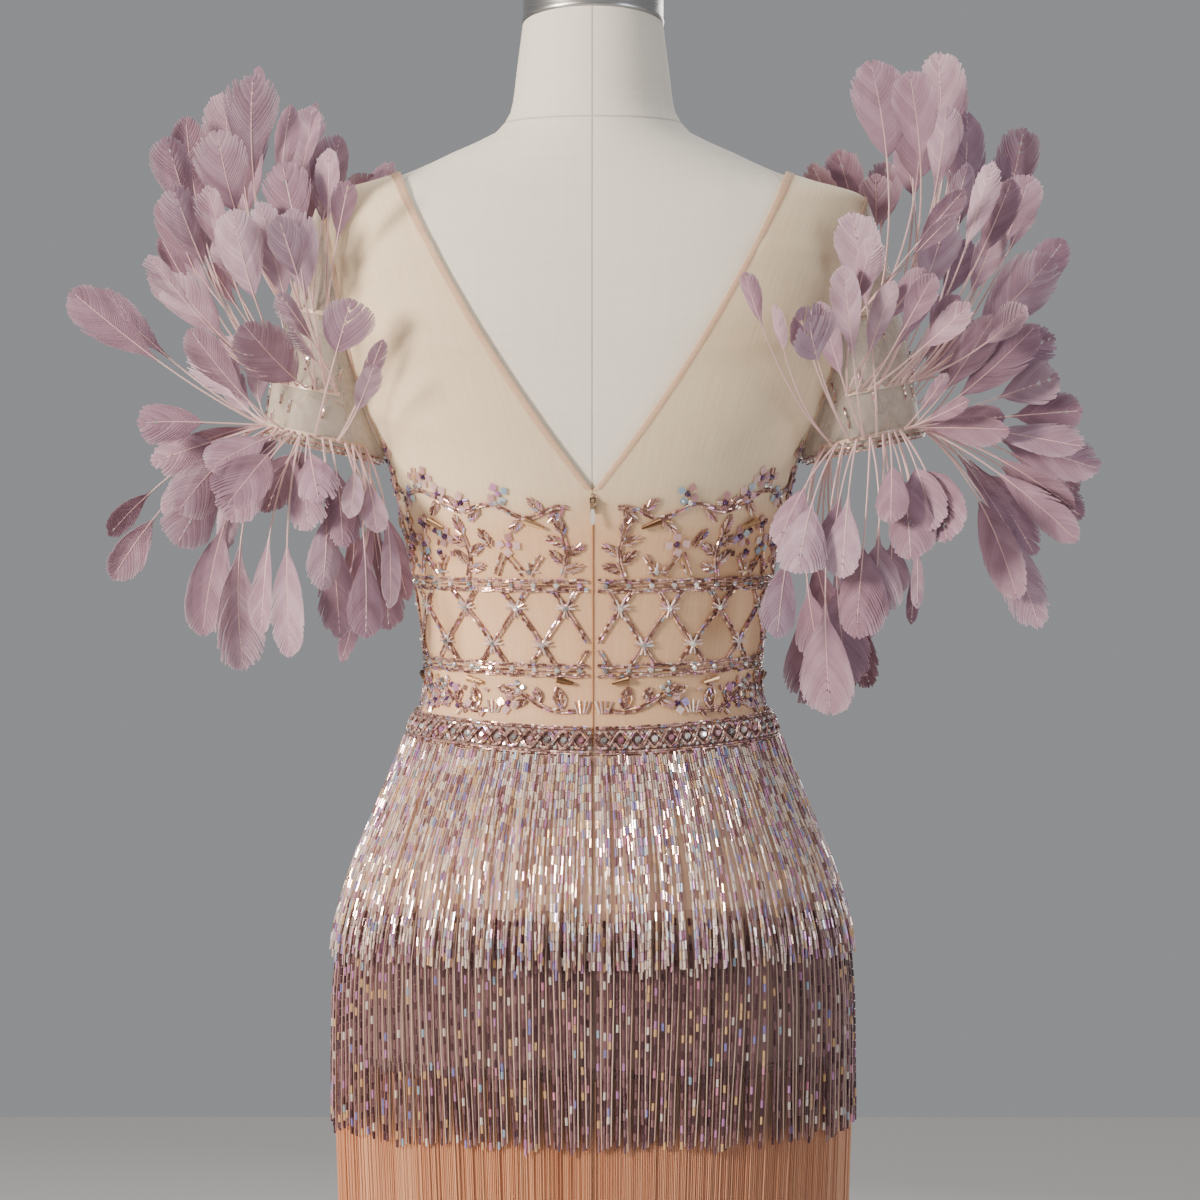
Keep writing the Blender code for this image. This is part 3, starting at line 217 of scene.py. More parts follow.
def build_brushed_marks():
    """Fine marks round a turned or rolled metal part: how rough it is, and its small relief."""
    group, start, end = new_group("brushed marks", "ShaderNodeTree", {"Marks per metre": "Float"},
                                  {"Roughness": "Float", "Height": "Float"})
    coordinates = group.nodes.new("ShaderNodeTexCoord").outputs["Object"]
    squeezed = result(group, "ShaderNodeMapping", {"Vector": coordinates, "Scale": (0.02, 0.02, 1.0)})
    marks = cloudy(group, squeezed, start["Marks per metre"], 3.0)
    rough = result(group, "ShaderNodeMapRange", {0: marks, 1: 0.3, 2: 0.7, 3: 0.24, 4: 0.40})
    group.links.new(rough, end["Roughness"])
    group.links.new(marks, end["Height"])
    return group


brushed_marks = build_brushed_marks()


def brushed_finish(name, colour, marks_per_metre):
    finish, tree, shader = new_finish(name, base_color=colour, metallic=1.0)
    marks = place(tree, "ShaderNodeGroup", {"Marks per metre": marks_per_metre}, node_tree=brushed_marks)
    tree.links.new(marks.outputs["Roughness"], shader.inputs["Roughness"])
    bump(tree, shader, marks.outputs["Height"], 0.00005)
    return finish


steel = brushed_finish("brushed steel", (0.60, 0.59, 0.57, 1), 900.0)
foot = turned("stand_foot_turned", [
    (FOOT_RADIUS - 0.003, 0.0), (FOOT_RADIUS - 0.0008, 0.0008), (FOOT_RADIUS, 0.003), (FOOT_RADIUS, 0.0078),
    (FOOT_RADIUS - 0.001, 0.0092), (FOOT_RADIUS - 0.004, 0.0105), (FOOT_RADIUS - 0.012, 0.0128),
    (COLLAR_RADIUS + 0.022, FOOT_HEIGHT - 0.0045), (COLLAR_RADIUS + 0.008, FOOT_HEIGHT - 0.0038),
    (COLLAR_RADIUS + 0.002, FOOT_HEIGHT - 0.0022), (COLLAR_RADIUS, FOOT_HEIGHT - 0.0006),
    (COLLAR_RADIUS - 0.0015, FOOT_HEIGHT), (POLE_RADIUS + 0.001, FOOT_HEIGHT)], steel)
pole = turned("stand_pole_turned", [
    (POLE_RADIUS, FOOT_HEIGHT + 0.0002), (POLE_RADIUS, 0.40), (POLE_RADIUS, POLE_TOP)], steel)
for piece, solid in ((foot, "stand_base"), (pole, "stand_pole")):
    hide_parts(solid)
    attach(piece, "dress")


# The dress form
# A limbless form with a neck, covered in plain linen that is cut in panels: a seam down the middle of the
# back, one at each side of it, and one round the base of the neck. A brushed steel cap closes the neck.

TORSO_BOTTOM = 0.740
NECK_TOP = 1.516
NECK_SLOPE = 0.008
QUARTER = math.pi / 2

# Height, half width, depth behind the side line and in front of it, and squareness, at each level.
SECTIONS = (
    (0.48, 0.175, 0.118, 0.114, 2.3), (0.66, 0.18, 0.122, 0.117, 2.3), (0.74, 0.1822, 0.127, 0.12, 2.3),
    (0.8, 0.1822, 0.132, 0.122, 2.3), (0.85, 0.1795, 0.135, 0.123, 2.3), (0.9, 0.167, 0.128, 0.12, 2.25),
    (0.95, 0.1485, 0.114, 0.112, 2.2), (0.99, 0.1335, 0.098, 0.102, 2.2), (1.04, 0.119, 0.087, 0.094, 2.2),
    (1.08, 0.1215, 0.087, 0.096, 2.2), (1.125, 0.129, 0.093, 0.105, 2.2), (1.171, 0.139, 0.101, 0.117, 2.3),
    (1.2, 0.1455, 0.105, 0.122, 2.5), (1.24, 0.163, 0.108, 0.122, 2.8), (1.29, 0.18, 0.108, 0.108, 3.0),
    (1.335, 0.19, 0.103, 0.092, 2.8), (1.365, 0.195, 0.097, 0.078, 2.5), (1.387, 0.1945, 0.088, 0.07, 2.2),
    (1.4, 0.16, 0.08, 0.066, 2.05), (1.4065, 0.1387, 0.077, 0.064, 2.0), (1.423, 0.102, 0.07, 0.062, 2.0),
    (1.44, 0.068, 0.063, 0.06, 2.0), (1.456, 0.059, 0.057, 0.058, 2.0), (1.482, 0.0555, 0.054, 0.057, 2.0),
    (1.54, 0.048, 0.047, 0.052, 2.0))
BUST_RISE = 0.016
BUST_HEIGHT = 1.232
BUST_ANGLE = math.radians(34)
BUST_SPREAD_ANGLE = 0.42
BUST_SPREAD_HEIGHT = 0.050


def curve_slopes(places, values):
    """Slopes of a smooth curve through some values, which never overshoots them."""
    steps = np.diff(places)
    rises = np.diff(values) / steps
    slopes = np.zeros(len(values))
    slopes[0] = rises[0]
    slopes[-1] = rises[-1]
    for row in range(1, len(values) - 1):
        if rises[row - 1] * rises[row] > 0:
            before = 2 * steps[row] + steps[row - 1]
            after = steps[row] + 2 * steps[row - 1]
            slopes[row] = (before + after) / (before / rises[row - 1] + after / rises[row])
    return slopes


def on_curve(places, values, slopes, at):
    """The height of such a curve at another place."""
    row = np.clip(np.searchsorted(places, at) - 1, 0, len(places) - 2)
    step = places[row + 1] - places[row]
    t = (at - places[row]) / step
    return (values[row] * (2 * t**3 - 3 * t**2 + 1) + slopes[row] * step * (t**3 - 2 * t**2 + t)
            + values[row + 1] * (3 * t**2 - 2 * t**3) + slopes[row + 1] * step * (t**3 - t**2))


SECTION_COLUMNS = dict(zip(("height", "half_width", "back", "front", "squareness"), np.array(SECTIONS).T))
SECTION_HEIGHTS = SECTION_COLUMNS["height"]
SECTION_SLOPES = {name: curve_slopes(SECTION_HEIGHTS, column) for name, column in SECTION_COLUMNS.items()}


def section_value(name, height):
    """One measure of the oval section at a height."""
    return on_curve(SECTION_HEIGHTS, SECTION_COLUMNS[name], SECTION_SLOPES[name], height)


def side_line(height):
    """How far the side line lies from the middle plane, front to back."""
    return (section_value("back", height) - section_value("front", height)) / 2


def bare_point(angle, height):
    """A point on the form's own surface. The angle is 0 at the wearer's left and rises to the back."""
    wide = section_value("half_width", height)
    deep = (section_value("back", height) + section_value("front", height)) / 2
    power = section_value("squareness", height)
    across = np.abs(np.cos(angle)) / wide
    along = np.abs(np.sin(angle)) / deep
    reach = (across**power + along**power) ** (-1 / power)
    from_front = np.abs(np.abs(np.arctan2(np.cos(angle), -np.sin(angle))) - BUST_ANGLE)
    fullness = np.exp(-(from_front / BUST_SPREAD_ANGLE)**2 - ((height - BUST_HEIGHT) / BUST_SPREAD_HEIGHT)**2)
    reach = reach + BUST_RISE * fullness
    return np.stack([reach * np.cos(angle), reach * np.sin(angle) + side_line(height),
                     height + 0 * angle], axis=-1)


def body_normal(angle, height):
    small_turn = 1e-3
    small_rise = 5e-4
    round_way = bare_point(angle + small_turn, height) - bare_point(angle - small_turn, height)
    up_way = bare_point(angle, height + small_rise) - bare_point(angle, height - small_rise)
    normal = np.cross(round_way, up_way)
    return normal / np.linalg.norm(normal, axis=-1, keepdims=True)


def body_point(angle, height, lift):
    """A point at a lift above the form, along the surface's normal."""
    return bare_point(angle, height) + body_normal(angle, height) * np.asarray(lift, dtype=float)[..., None]


def angle_where(measure, wanted, height, side):
    """The angle from the side line to the back (side 1) or front (-1) where a rising measure is met."""
    low, high = 0.0, QUARTER
    for _ in range(40):
        middle = (low + high) / 2
        if measure(bare_point(side * middle, height)) < wanted:
            low = middle
        else:
            high = middle
    return side * (low + high) / 2


def angle_at_across(across, height, side):
    return angle_where(lambda point: -point[0], -across, height, side)


def angle_at_depth(depth, height, side):
    line = side_line(height)
    return angle_where(lambda point: side * (point[1] - line), depth, height, side)


def cloth_uvs(points):
    """For a grid of points: metres round from the middle of its columns, and height, for each point."""
    steps = np.linalg.norm(np.diff(points, axis=1), axis=-1)
    along = np.concatenate([np.zeros((len(points), 1)), np.cumsum(steps, axis=1)], axis=1)
    along = along - along[:, -1:] / 2
    return np.stack([along, points[..., 2]], axis=-1)


def build_weave():
    """Plain weave of threads that cross, from a place on the cloth in metres: its relief and its tone."""
    group, start, end = new_group("plain weave", "ShaderNodeTree",
                                  {"Place": "Vector", "Thread spacing": "Float", "Unevenness": "Float"},
                                  {"Relief": "Float", "Tone": "Float"})
    turns = sums(group, 'DIVIDE', math.pi, start["Thread spacing"])
    parts = place(group, "ShaderNodeSeparateXYZ", {0: start["Place"]}).outputs
    across, up = (sums(group, 'SINE', sums(group, 'MULTIPLY', parts[way], turns)) for way in (0, 1))
    crossing = sums(group, 'MULTIPLY', across, up)
    group.links.new(crossing, end["Relief"])
    # Threads vary in thickness along the cloth and across it.
    drawn = []
    for scale in ((1.0, 0.03, 1.0), (0.03, 1.0, 1.0)):
        stretched = result(group, "ShaderNodeMapping", {"Vector": start["Place"], "Scale": scale})
        drawn.append(cloudy(group, stretched, 420.0, 2.0))
    streaks = sums(group, 'SUBTRACT', sums(group, 'ADD', *drawn), 1.0)
    tone = scaled(group, crossing, 0.06, scaled(group, streaks, start["Unevenness"], 0.5))
    group.links.new(tone, end["Tone"])
    return group


plain_weave = build_weave()


def weave(tree, spacing, unevenness):
    """The weave placed by the piece's own UV map, which is in metres."""
    where = result(tree, "ShaderNodeUVMap", {}, uv_map="Cloth")
    values = {"Place": where, "Thread spacing": spacing, "Unevenness": unevenness}
    made = place(tree, "ShaderNodeGroup", values, node_tree=plain_weave)
    return made.outputs, where


def line_mask(tree, distance, half):
    """1 on a line and 0 away from it, from the distance to it."""
    away = sums(tree, 'ABSOLUTE', distance)
    return result(tree, "ShaderNodeMapRange", {0: away, 1: half * 0.5, 2: half * 1.6, 3: 1.0, 4: 0.0},
                  interpolation_type='SMOOTHSTEP')


NECK_SEAM = 1.4445
SIDE_BACK_SEAM = 0.118   # across at the shoulder blades
SEAM_HALF = 0.0006


def build_linen():
    finish, tree, shader = new_finish("linen", roughness=0.88, sheen_weight=0.15, sheen_roughness=0.6)
    threads, where = weave(tree, 0.0008, 0.55)
    parts = place(tree, "ShaderNodeSeparateXYZ", {0: where})
    round_way, up = parts.outputs[0], parts.outputs[1]
    back_seam = line_mask(tree, round_way, SEAM_HALF)
    # The seams beside the middle lean outward a little as they rise.
    lean = scaled(tree, sums(tree, 'SUBTRACT', up, 1.30), 0.22, SIDE_BACK_SEAM)
    side_seams = line_mask(tree, sums(tree, 'SUBTRACT', sums(tree, 'ABSOLUTE', round_way), lean), SEAM_HALF)
    below_neck = sums(tree, 'LESS_THAN', up, NECK_SEAM)
    neck_seam = line_mask(tree, sums(tree, 'SUBTRACT', up, NECK_SEAM), SEAM_HALF)
    seams = sums(tree, 'MAXIMUM', sums(tree, 'MAXIMUM', back_seam, neck_seam),
                 sums(tree, 'MULTIPLY', side_seams, below_neck))
    soil = sums(tree, 'MULTIPLY', cloudy(tree, where, 9.0, 4.0), 0.25)
    plain = between(tree, threads["Tone"], (0.73, 0.665, 0.56, 1), (0.90, 0.83, 0.72, 1))
    plain = between(tree, soil, plain, (0.62, 0.57, 0.49, 1))
    colour = between(tree, sums(tree, 'MULTIPLY', seams, 0.55), plain, (0.40, 0.36, 0.30, 1))
    tree.links.new(colour, shader.inputs["Base Color"])
    bump(tree, shader, scaled(tree, seams, -5.0, threads["Relief"]), 0.00012, 0.8)
    return finish


linen = build_linen()
FORM_COLUMNS = 144
FORM_STEP = 0.0075
form_angles = np.linspace(-QUARTER, 3 * QUARTER, FORM_COLUMNS + 1)
form_heights = np.arange(TORSO_BOTTOM, NECK_TOP - NECK_SLOPE - FORM_STEP / 2, FORM_STEP)
form_grid = bare_point(form_angles[None, :], form_heights[:, None])
neck_rim = bare_point(form_angles, NECK_TOP + NECK_SLOPE * np.sin(form_angles))
form_grid = np.concatenate([form_grid, neck_rim[None]])
form_uvs = cloth_uvs(form_grid)
# The grid's two ends meet at the middle of the front. There a place on the cloth has two values, so each
# corner of each face gets its own.
open_corners = np.concatenate(grid_faces(len(form_grid), FORM_COLUMNS + 1))
form_corners = np.concatenate([form_uvs.reshape(-1, 2)[open_corners], form_uvs[0, :-1][::-1],
                               form_uvs[-1, :-1]])
form = make_piece("form_linen_cover", form_grid[:, :-1], stacked_faces(len(form_grid), FORM_COLUMNS), linen,
                  form_corners)
form.data.set_sharp_from_angle(angle=math.radians(50))
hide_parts("form_torso")
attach(form, "dress")

CAP_PROFILE = ((1.0, 0.0003), (1.010, 0.0012), (1.012, 0.0030), (1.0, 0.0045), (1.0, 0.0180), (0.985, 0.0212),
               (0.94, 0.0238), (0.80, 0.0258), (0.50, 0.0266), (0.15, 0.0268))
cap_middle = neck_rim[:-1].mean(axis=0)
cap_rings = []
for share, rise in CAP_PROFILE:
    ring = cap_middle + (neck_rim[:-1] - cap_middle) * share
    ring[:, 2] = neck_rim[:-1, 2] + rise
    cap_rings.append(ring)
cap = make_piece("form_steel_cap", cap_rings, stacked_faces(len(CAP_PROFILE), FORM_COLUMNS),
                 brushed_finish("cap steel", (0.50, 0.49, 0.47, 1), 1400.0))
cap.data.set_sharp_from_angle(angle=math.radians(50))
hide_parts("form_neck_cap")
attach(cap, "dress")


# The zip tapes
# Two woven tapes lie between the form and the tulle and run from the point of the V down under the fringe.
# They show through the tulle as a slightly darker band, with the closed coil as a thin line between them.

ZIP_LOW = 0.930
V_POINT = 1.179
ZIP_TAPE_HALF = 0.0120
COIL_HALF = 0.0006
ZIP_ROWS = 90


def build_tape_finish():
    finish, tree, shader = new_finish("zip tape", roughness=0.75)
    threads, _ = weave(tree, 0.0006, 0.3)
    colour = between(tree, threads["Tone"], (0.66, 0.44, 0.30, 1), (0.80, 0.58, 0.42, 1))
    tree.links.new(colour, shader.inputs["Base Color"])
    bump(tree, shader, threads["Relief"], 0.0001, 0.7)
    return finish


def sheet_piece(name, outer, inner, faces, finish, uvs):
    """A thin closed sheet: an outer skin, the same faces inside, and a rim along every open edge."""
    count = outer.size // 3
    edges = set()
    for face in faces:
        edges.update(zip(face, face[1:] + face[:1]))
    rim = sorted((b, a, a + count, b + count) for a, b in edges if (b, a) not in edges)
    inside = [tuple(count + corner for corner in reversed(face)) for face in faces]
    points = np.concatenate([outer.reshape(-1, 3), inner.reshape(-1, 3)])
    return make_piece(name, points, faces + inside + rim, finish, np.concatenate([uvs.reshape(-1, 2)] * 2))


def wall(name, outer, inner, finish):
    """A sheet between two grids of points, whose outer skin is turned to look away from the body's axis."""
    first = outer[1, 0] - outer[0, 0]
    second = outer[0, 1] - outer[0, 0]
    if np.dot(np.cross(second, first), outer[0, 0] * (1, 1, 0)) <= 0:
        outer = outer[:, ::-1]
        inner = inner[:, ::-1]
    made = sheet_piece(name, outer, inner, grid_faces(*outer.shape[:2]), finish, cloth_uvs(outer))
    made.data.set_sharp_from_angle(angle=math.radians(60))
    return made


def body_strip(name, angles, heights, low, high, finish, mirror=1):
    """A wall over the body between two lifts, from grids of angles and heights."""
    outer, inner = (body_point(angles, heights, lift) * (mirror, 1, 1) for lift in (high, low))
    return wall(name, outer, inner, finish)


def zip_levels(low, high, rows, across):
    levels = np.linspace(low, high, rows)
    angles = np.array([[angle_at_across(abs(x), level, 1) for x in across] for level in levels])
    angles = np.where(np.array(across) < 0, math.pi - angles, angles)
    return angles, np.repeat(levels[:, None], len(across), axis=1)


tape_finish = build_tape_finish()
for word, mirror in (("left", 1), ("right", -1)):
    places = tuple(mirror * x for x in (ZIP_TAPE_HALF, 0.008, 0.004, COIL_HALF))
    tape_angles, tape_heights = zip_levels(ZIP_LOW, V_POINT - 0.004, ZIP_ROWS, places)
    tape = body_strip(f"zip_tape_{word}_woven", tape_angles, tape_heights, 0.0004, 0.0010, tape_finish)
    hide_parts(f"zip_tape_{word}")
    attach(tape, "dress")
coil_finish, _, _ = new_finish("zip coil", base_color=(0.34, 0.16, 0.08, 1), roughness=0.45)
coil_angles, coil_heights = zip_levels(ZIP_LOW, V_POINT - 0.005, ZIP_ROWS * 3, (COIL_HALF, -COIL_HALF))
coil = body_strip("zip_coil", coil_angles, coil_heights, 0.0014, 0.0026, coil_finish)
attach(coil, "dress")


# The bodice
# Sheer nude tulle over the form: a front with a scoop neck, and two backs that make a deep V and meet at
# the zip. The tulle is stretched smooth, with a few soft creases where the sleeves pull on it.

SKIN = 0.0022
CLOTH = 0.0012
SEAM = 0.0003
WAIST_SEAM = 1.003
SCOOP_POINT = 1.300
NECK_SHOULDER = (0.1387, 1.4065)
SHOULDER_TIP = 1.387
UNDERARM = 1.212
ARMHOLE_BACK = 0.048
ARMHOLE_FRONT = 0.052
TULLE_LIFT = 0.0026
TULLE_THICK = 0.0005
PANEL_ROWS_BELOW = 26
PANEL_ROWS_ABOVE = 60
PANEL_COLUMNS = 40
BACKED_BELOW = 1.165


def v_edge(t):
    """The V of the back: angle and height, from its point (0) to the shoulder (1)."""
    height = V_POINT + (NECK_SHOULDER[1] - V_POINT) * t
    across = NECK_SHOULDER[0] * (t + 0.28 * t * (1 - t))
    return angle_at_across(max(across, SEAM / 2), height, 1), height


def scoop_edge(t):
    """The round neckline of the front, from its lowest point to the shoulder."""
    turn = t * QUARTER
    height = SCOOP_POINT + (NECK_SHOULDER[1] - SCOOP_POINT) * (1 - math.cos(turn)) ** 0.9
    return angle_at_across(NECK_SHOULDER[0] * math.sin(turn), height, -1), height


def armhole_edge(t, side):
    """The armhole of the back (side 1) or front (-1), from the underarm to the shoulder tip."""
    middle = (UNDERARM + SHOULDER_TIP) / 2
    half = (SHOULDER_TIP - UNDERARM) / 2
    turn = math.pi * (1 - t)
    height = middle + half * math.cos(turn)
    reach = ARMHOLE_BACK if side > 0 else ARMHOLE_FRONT
    depth = max(reach * math.sin(turn), SEAM / 2)
    return angle_at_depth(depth, height, side), height


@lru_cache(maxsize=None)
def panel_edges(side):
    """Both long edges of half a panel: rows of (angle, height) at the centre line and at the side."""
    neck = v_edge if side > 0 else scoop_edge
    neck_low = V_POINT if side > 0 else SCOOP_POINT
    bottom = WAIST_SEAM + SEAM / 2
    rows = []
    for share in np.linspace(0.0, 1.0, PANEL_ROWS_BELOW + 1)[:-1]:
        centre_height = bottom + (neck_low - bottom) * share
        side_height = bottom + (UNDERARM - bottom) * share
        rows.append(((angle_at_across(SEAM / 2, centre_height, side), centre_height),
                     (angle_at_depth(SEAM / 2, side_height, side), side_height)))
    for share in np.linspace(0.0, 1.0, PANEL_ROWS_ABOVE + 1):
        rows.append((neck(share), armhole_edge(share, side)))
    return np.array(rows)


def panel_places(side, shares):
    """Angles and heights of half a panel: rows from the waist up, a column for each share of the way out."""
    near, far = panel_edges(side).transpose(1, 2, 0)[..., None]
    return near + (far - near) * shares


# Soft creases of the back: the height where one starts beside the armhole, its slope, how far it runs in, and
# how high it stands.
CREASES = ((1.345, 0.10, 0.080, 0.0012), (1.325, 0.34, 0.060, 0.0010), (1.292, -0.16, 0.085, 0.0014),
           (1.262, 0.22, 0.060, 0.0010), (1.240, -0.30, 0.070, 0.0012))
CREASE_HALF = 0.0042
CREASES_FROM = 0.172     # out from the middle of the body


def crease_lift(points):
    """How far the creases lift the tulle at each point of the wearer's left half of the back."""
    lift = np.zeros(points.shape[:-1])
    inward = CREASES_FROM - points[..., 0]
    for height, slope, reach, rise in CREASES:
        off = points[..., 2] - (height + slope * inward)
        fade = np.exp(-(np.maximum(inward, 0) / reach)**2) * (inward > -0.02)
        lift += rise * np.exp(-(off / CREASE_HALF)**2) * fade * (points[..., 1] > 0)
    return lift


def above(tree, height, soft_over):
    """0 below a height and 1 above it, with a soft change between."""
    where = tree.nodes.new("ShaderNodeTexCoord").outputs["Object"]
    up = place(tree, "ShaderNodeSeparateXYZ", {0: where}).outputs[2]
    return result(tree, "ShaderNodeMapRange", {0: up, 1: height - soft_over / 2, 2: height + soft_over / 2})


def build_tulle():
    """Sheer net with a faint grain up the cloth, backed with a second layer over the midriff. It hides a
    little more where it is seen at a slant."""
    finish, tree, shader = new_finish("nude tulle", roughness=0.62, sheen_weight=0.25, sheen_roughness=0.5)
    threads, where = weave(tree, 0.0010, 0.5)
    stretched = result(tree, "ShaderNodeMapping", {"Vector": where, "Scale": (1.0, 0.04, 1.0)})
    grain = cloudy(tree, stretched, 650.0, 3.0)
    slant = place(tree, "ShaderNodeLayerWeight", {"Blend": 0.35}).outputs["Facing"]
    tone = scaled(tree, grain, 0.5, sums(tree, 'MULTIPLY', threads["Tone"], 0.5))
    sheer = between(tree, tone, (1.0, 0.74, 0.47, 1), (1.0, 0.90, 0.66, 1))
    backed = between(tree, tone, (0.94, 0.53, 0.28, 1), (1.0, 0.70, 0.42, 1))
    above_midriff = above(tree, BACKED_BELOW, 0.035)
    tree.links.new(between(tree, above_midriff, backed, sheer), shader.inputs["Base Color"])
    cover = scaled(tree, grain, 0.16, scaled(tree, above_midriff, -0.08, 0.43))
    cover = scaled(tree, slant, 0.45, cover)
    tree.links.new(sums(tree, 'MINIMUM', cover, 0.92), shader.inputs["Alpha"])
    bump(tree, shader, threads["Relief"], 0.00008, 0.6)
    return finish


tulle = build_tulle()
column_shares = np.linspace(0.0, 1.0, PANEL_COLUMNS + 1)
back_angles, back_heights = panel_places(1, column_shares)
back_creases = crease_lift(bare_point(back_angles, back_heights))
for word, mirror in (("left", 1), ("right", -1)):
    back = body_strip(f"bodice_back_{word}_tulle", back_angles, back_heights, TULLE_LIFT + back_creases,
                      TULLE_LIFT + TULLE_THICK + back_creases, tulle, mirror)
    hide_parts(f"bodice_back_{word}")
    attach(back, "dress")

# The front is one piece: its right half is the left one mirrored, and the two meet at the middle below
# the neckline.
front_angles, front_heights = panel_places(-1, column_shares)
low_rows = PANEL_ROWS_BELOW + 1
front_angles[:low_rows, 0] = -QUARTER


def build_front():
    rows, columns = front_angles.shape
    kept = np.ones((rows, columns), dtype=bool)
    kept[:low_rows, 0] = False
    skins = []
    for lift in (TULLE_LIFT + TULLE_THICK, TULLE_LIFT):
        left = body_point(front_angles, front_heights, lift)
        skins.append(np.concatenate([left.reshape(-1, 3), (left * (-1, 1, 1))[kept]]))
    numbers = np.arange(rows * columns).reshape(rows, columns)
    right_numbers = np.where(kept, rows * columns + np.cumsum(kept).reshape(rows, columns) - 1, numbers)
    uvs = cloth_uvs(left)
    uvs[..., 0] += np.abs(uvs[:, :1, 0])
    faces = []
    for face in grid_faces(rows, columns):
        faces += [face, tuple(int(right_numbers.flat[corner]) for corner in reversed(face))]
    return sheet_piece("bodice_front_tulle", *skins, faces, tulle,
                       np.concatenate([uvs.reshape(-1, 2), (uvs * (-1, 1))[kept]]))


front = build_front()
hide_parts("bodice_front")
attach(front, "dress")


# The neck edge and the armhole bindings
# The neckline is finished with its tulle folded double and stitched, and the armhole with a narrow bias
# binding. Both follow the panels' own edges.

NECK_EDGE_WIDTH = 0.0068
BINDING_WIDTH = 0.0052
EDGE_LIFT = 0.0032
EDGE_ROUNDING = np.array(((0.0, 0.12, 0.5, 0.88, 1.0), (0.25, 0.85, 1.0, 0.85, 0.25)))


def build_doubled_tulle(name, dark, light):
    finish, tree, shader = new_finish(name, roughness=0.6, sheen_weight=0.2, sheen_roughness=0.5)
    threads, _ = weave(tree, 0.0009, 0.5)
    tree.links.new(between(tree, threads["Tone"], dark, light), shader.inputs["Base Color"])
    tree.links.new(scaled(tree, threads["Tone"], 0.25, 0.40), shader.inputs["Alpha"])
    bump(tree, shader, threads["Relief"], 0.00012, 0.8)
    return finish


def edge_strip(name, side, at_neck, width, high, first_row, mirror, finish):
    """A strip along one long edge of a panel, as wide as given in metres, from a row up to the shoulder."""
    edges = panel_edges(side)
    start, end = (bare_point(edges[:, which, 0], edges[:, which, 1]) for which in (0, 1))
    length = np.linalg.norm(end - start, axis=1) * 1.06
    steps, rounded = EDGE_ROUNDING
    shares = np.clip(width / length, 0, 0.95)[:, None] * steps
    angles, heights = panel_places(side, shares if at_neck else 1 - shares)
    return body_strip(name, angles[first_row:], heights[first_row:], EDGE_LIFT,
                      EDGE_LIFT + (high - EDGE_LIFT) * rounded, finish, mirror)


neck_tulle = build_doubled_tulle("doubled tulle", (0.62, 0.36, 0.21, 1), (0.86, 0.60, 0.42, 1))
binding_finish = build_doubled_tulle("armhole binding", (0.66, 0.42, 0.27, 1), (0.90, 0.66, 0.48, 1))
for side, where in ((1, "back"), (-1, "front")):
    for mirror, word in ((1, "left"), (-1, "right")):
        neck_edge = edge_strip(f"neck_edge_{where}_{word}", side, True, NECK_EDGE_WIDTH, 0.0040,
                               PANEL_ROWS_BELOW, mirror, neck_tulle)
        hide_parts(f"neck_binding_{where}_{word}")
        armhole = edge_strip(f"armhole_edge_{where}_{word}", side, False, BINDING_WIDTH, 0.0050,
                             PANEL_ROWS_BELOW + 3, mirror, binding_finish)
        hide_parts(f"armhole_binding_{where}_{word}")
        for strip in (neck_edge, armhole):
            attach(strip, "dress")


# The skirt lining
# Three panels of matt lining, seamed at the sides and the middle of the back. It is nude under the first tier
# of fringe, darker under the next, which is painted shade from that tier's strands, and peach under the last.

SKIRT_HEM = 0.515
SKIRT_ROWS = 50
SIDE_GAP = SEAM / 2 / 0.12
# Top of the painted shade on the lining under the middle tier.
SHADE_PAINTED_BELOW = 0.868
PEACH_BELOW = 0.728
LINING_THICK = 0.0008


def build_lining():
    finish, tree, shader = new_finish("nude lining", roughness=0.7, sheen_weight=0.2, sheen_roughness=0.5)
    threads, where = weave(tree, 0.0009, 0.4)
    soft = cloudy(tree, where, 14.0, 2.0)
    tone = scaled(tree, soft, 0.5, sums(tree, 'MULTIPLY', threads["Tone"], 0.5))
    nude = between(tree, tone, (0.60, 0.37, 0.25, 1), (0.78, 0.55, 0.40, 1))
    # Painted shade: under the middle tier the lining is this dark brown, for the shade that the tier's
    # strands cast.
    painted_shade = between(tree, tone, (0.20, 0.115, 0.095, 1), (0.33, 0.20, 0.17, 1))
    peach = between(tree, tone, (0.46, 0.21, 0.11, 1), (0.60, 0.31, 0.18, 1))
    colour = between(tree, above(tree, PEACH_BELOW, 0.018), peach, painted_shade)
    colour = between(tree, above(tree, SHADE_PAINTED_BELOW, 0.012), colour, nude)
    tree.links.new(colour, shader.inputs["Base Color"])
    bump(tree, shader, threads["Relief"], 0.0001, 0.6)
    return finish


lining = build_lining()
skirt_levels = np.linspace(SKIRT_HEM, WAIST_SEAM - SEAM / 2, SKIRT_ROWS + 1)
for name, first, last, columns, flat_width, flat_area in (
        ("skirt_front", math.pi + SIDE_GAP, 2 * math.pi - SIDE_GAP, 96, 0.49, 0.22),
        ("skirt_back_left", SIDE_GAP, QUARTER - SIDE_GAP, 48, 0.25, 0.115),
        ("skirt_back_right", QUARTER + SIDE_GAP, math.pi - SIDE_GAP, 48, 0.25, 0.115)):
    angles, heights = np.meshgrid(np.linspace(first, last, columns + 1), skirt_levels)
    panel = body_strip(f"{name}_lining", angles, heights, TULLE_LIFT, TULLE_LIFT + LINING_THICK, lining)
    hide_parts(name)
    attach(panel, "dress")


# Threaded beads
# Every line of beads, from the fringe to the embroidery, is a thread that runs through short glass beads.
# A node tree threads them: it cuts each line into lengths and puts a turned bead on each.

THREAD_SEED = 5
LEAN_SEED = 71
TONE_SEED = 101


def any_number(tree, low, high, seed):
    """A random number between two, for each element."""
    values = {2: low, 3: high, "Seed": seed}
    return place(tree, "FunctionNodeRandomValue", values, data_type='FLOAT').outputs[1]


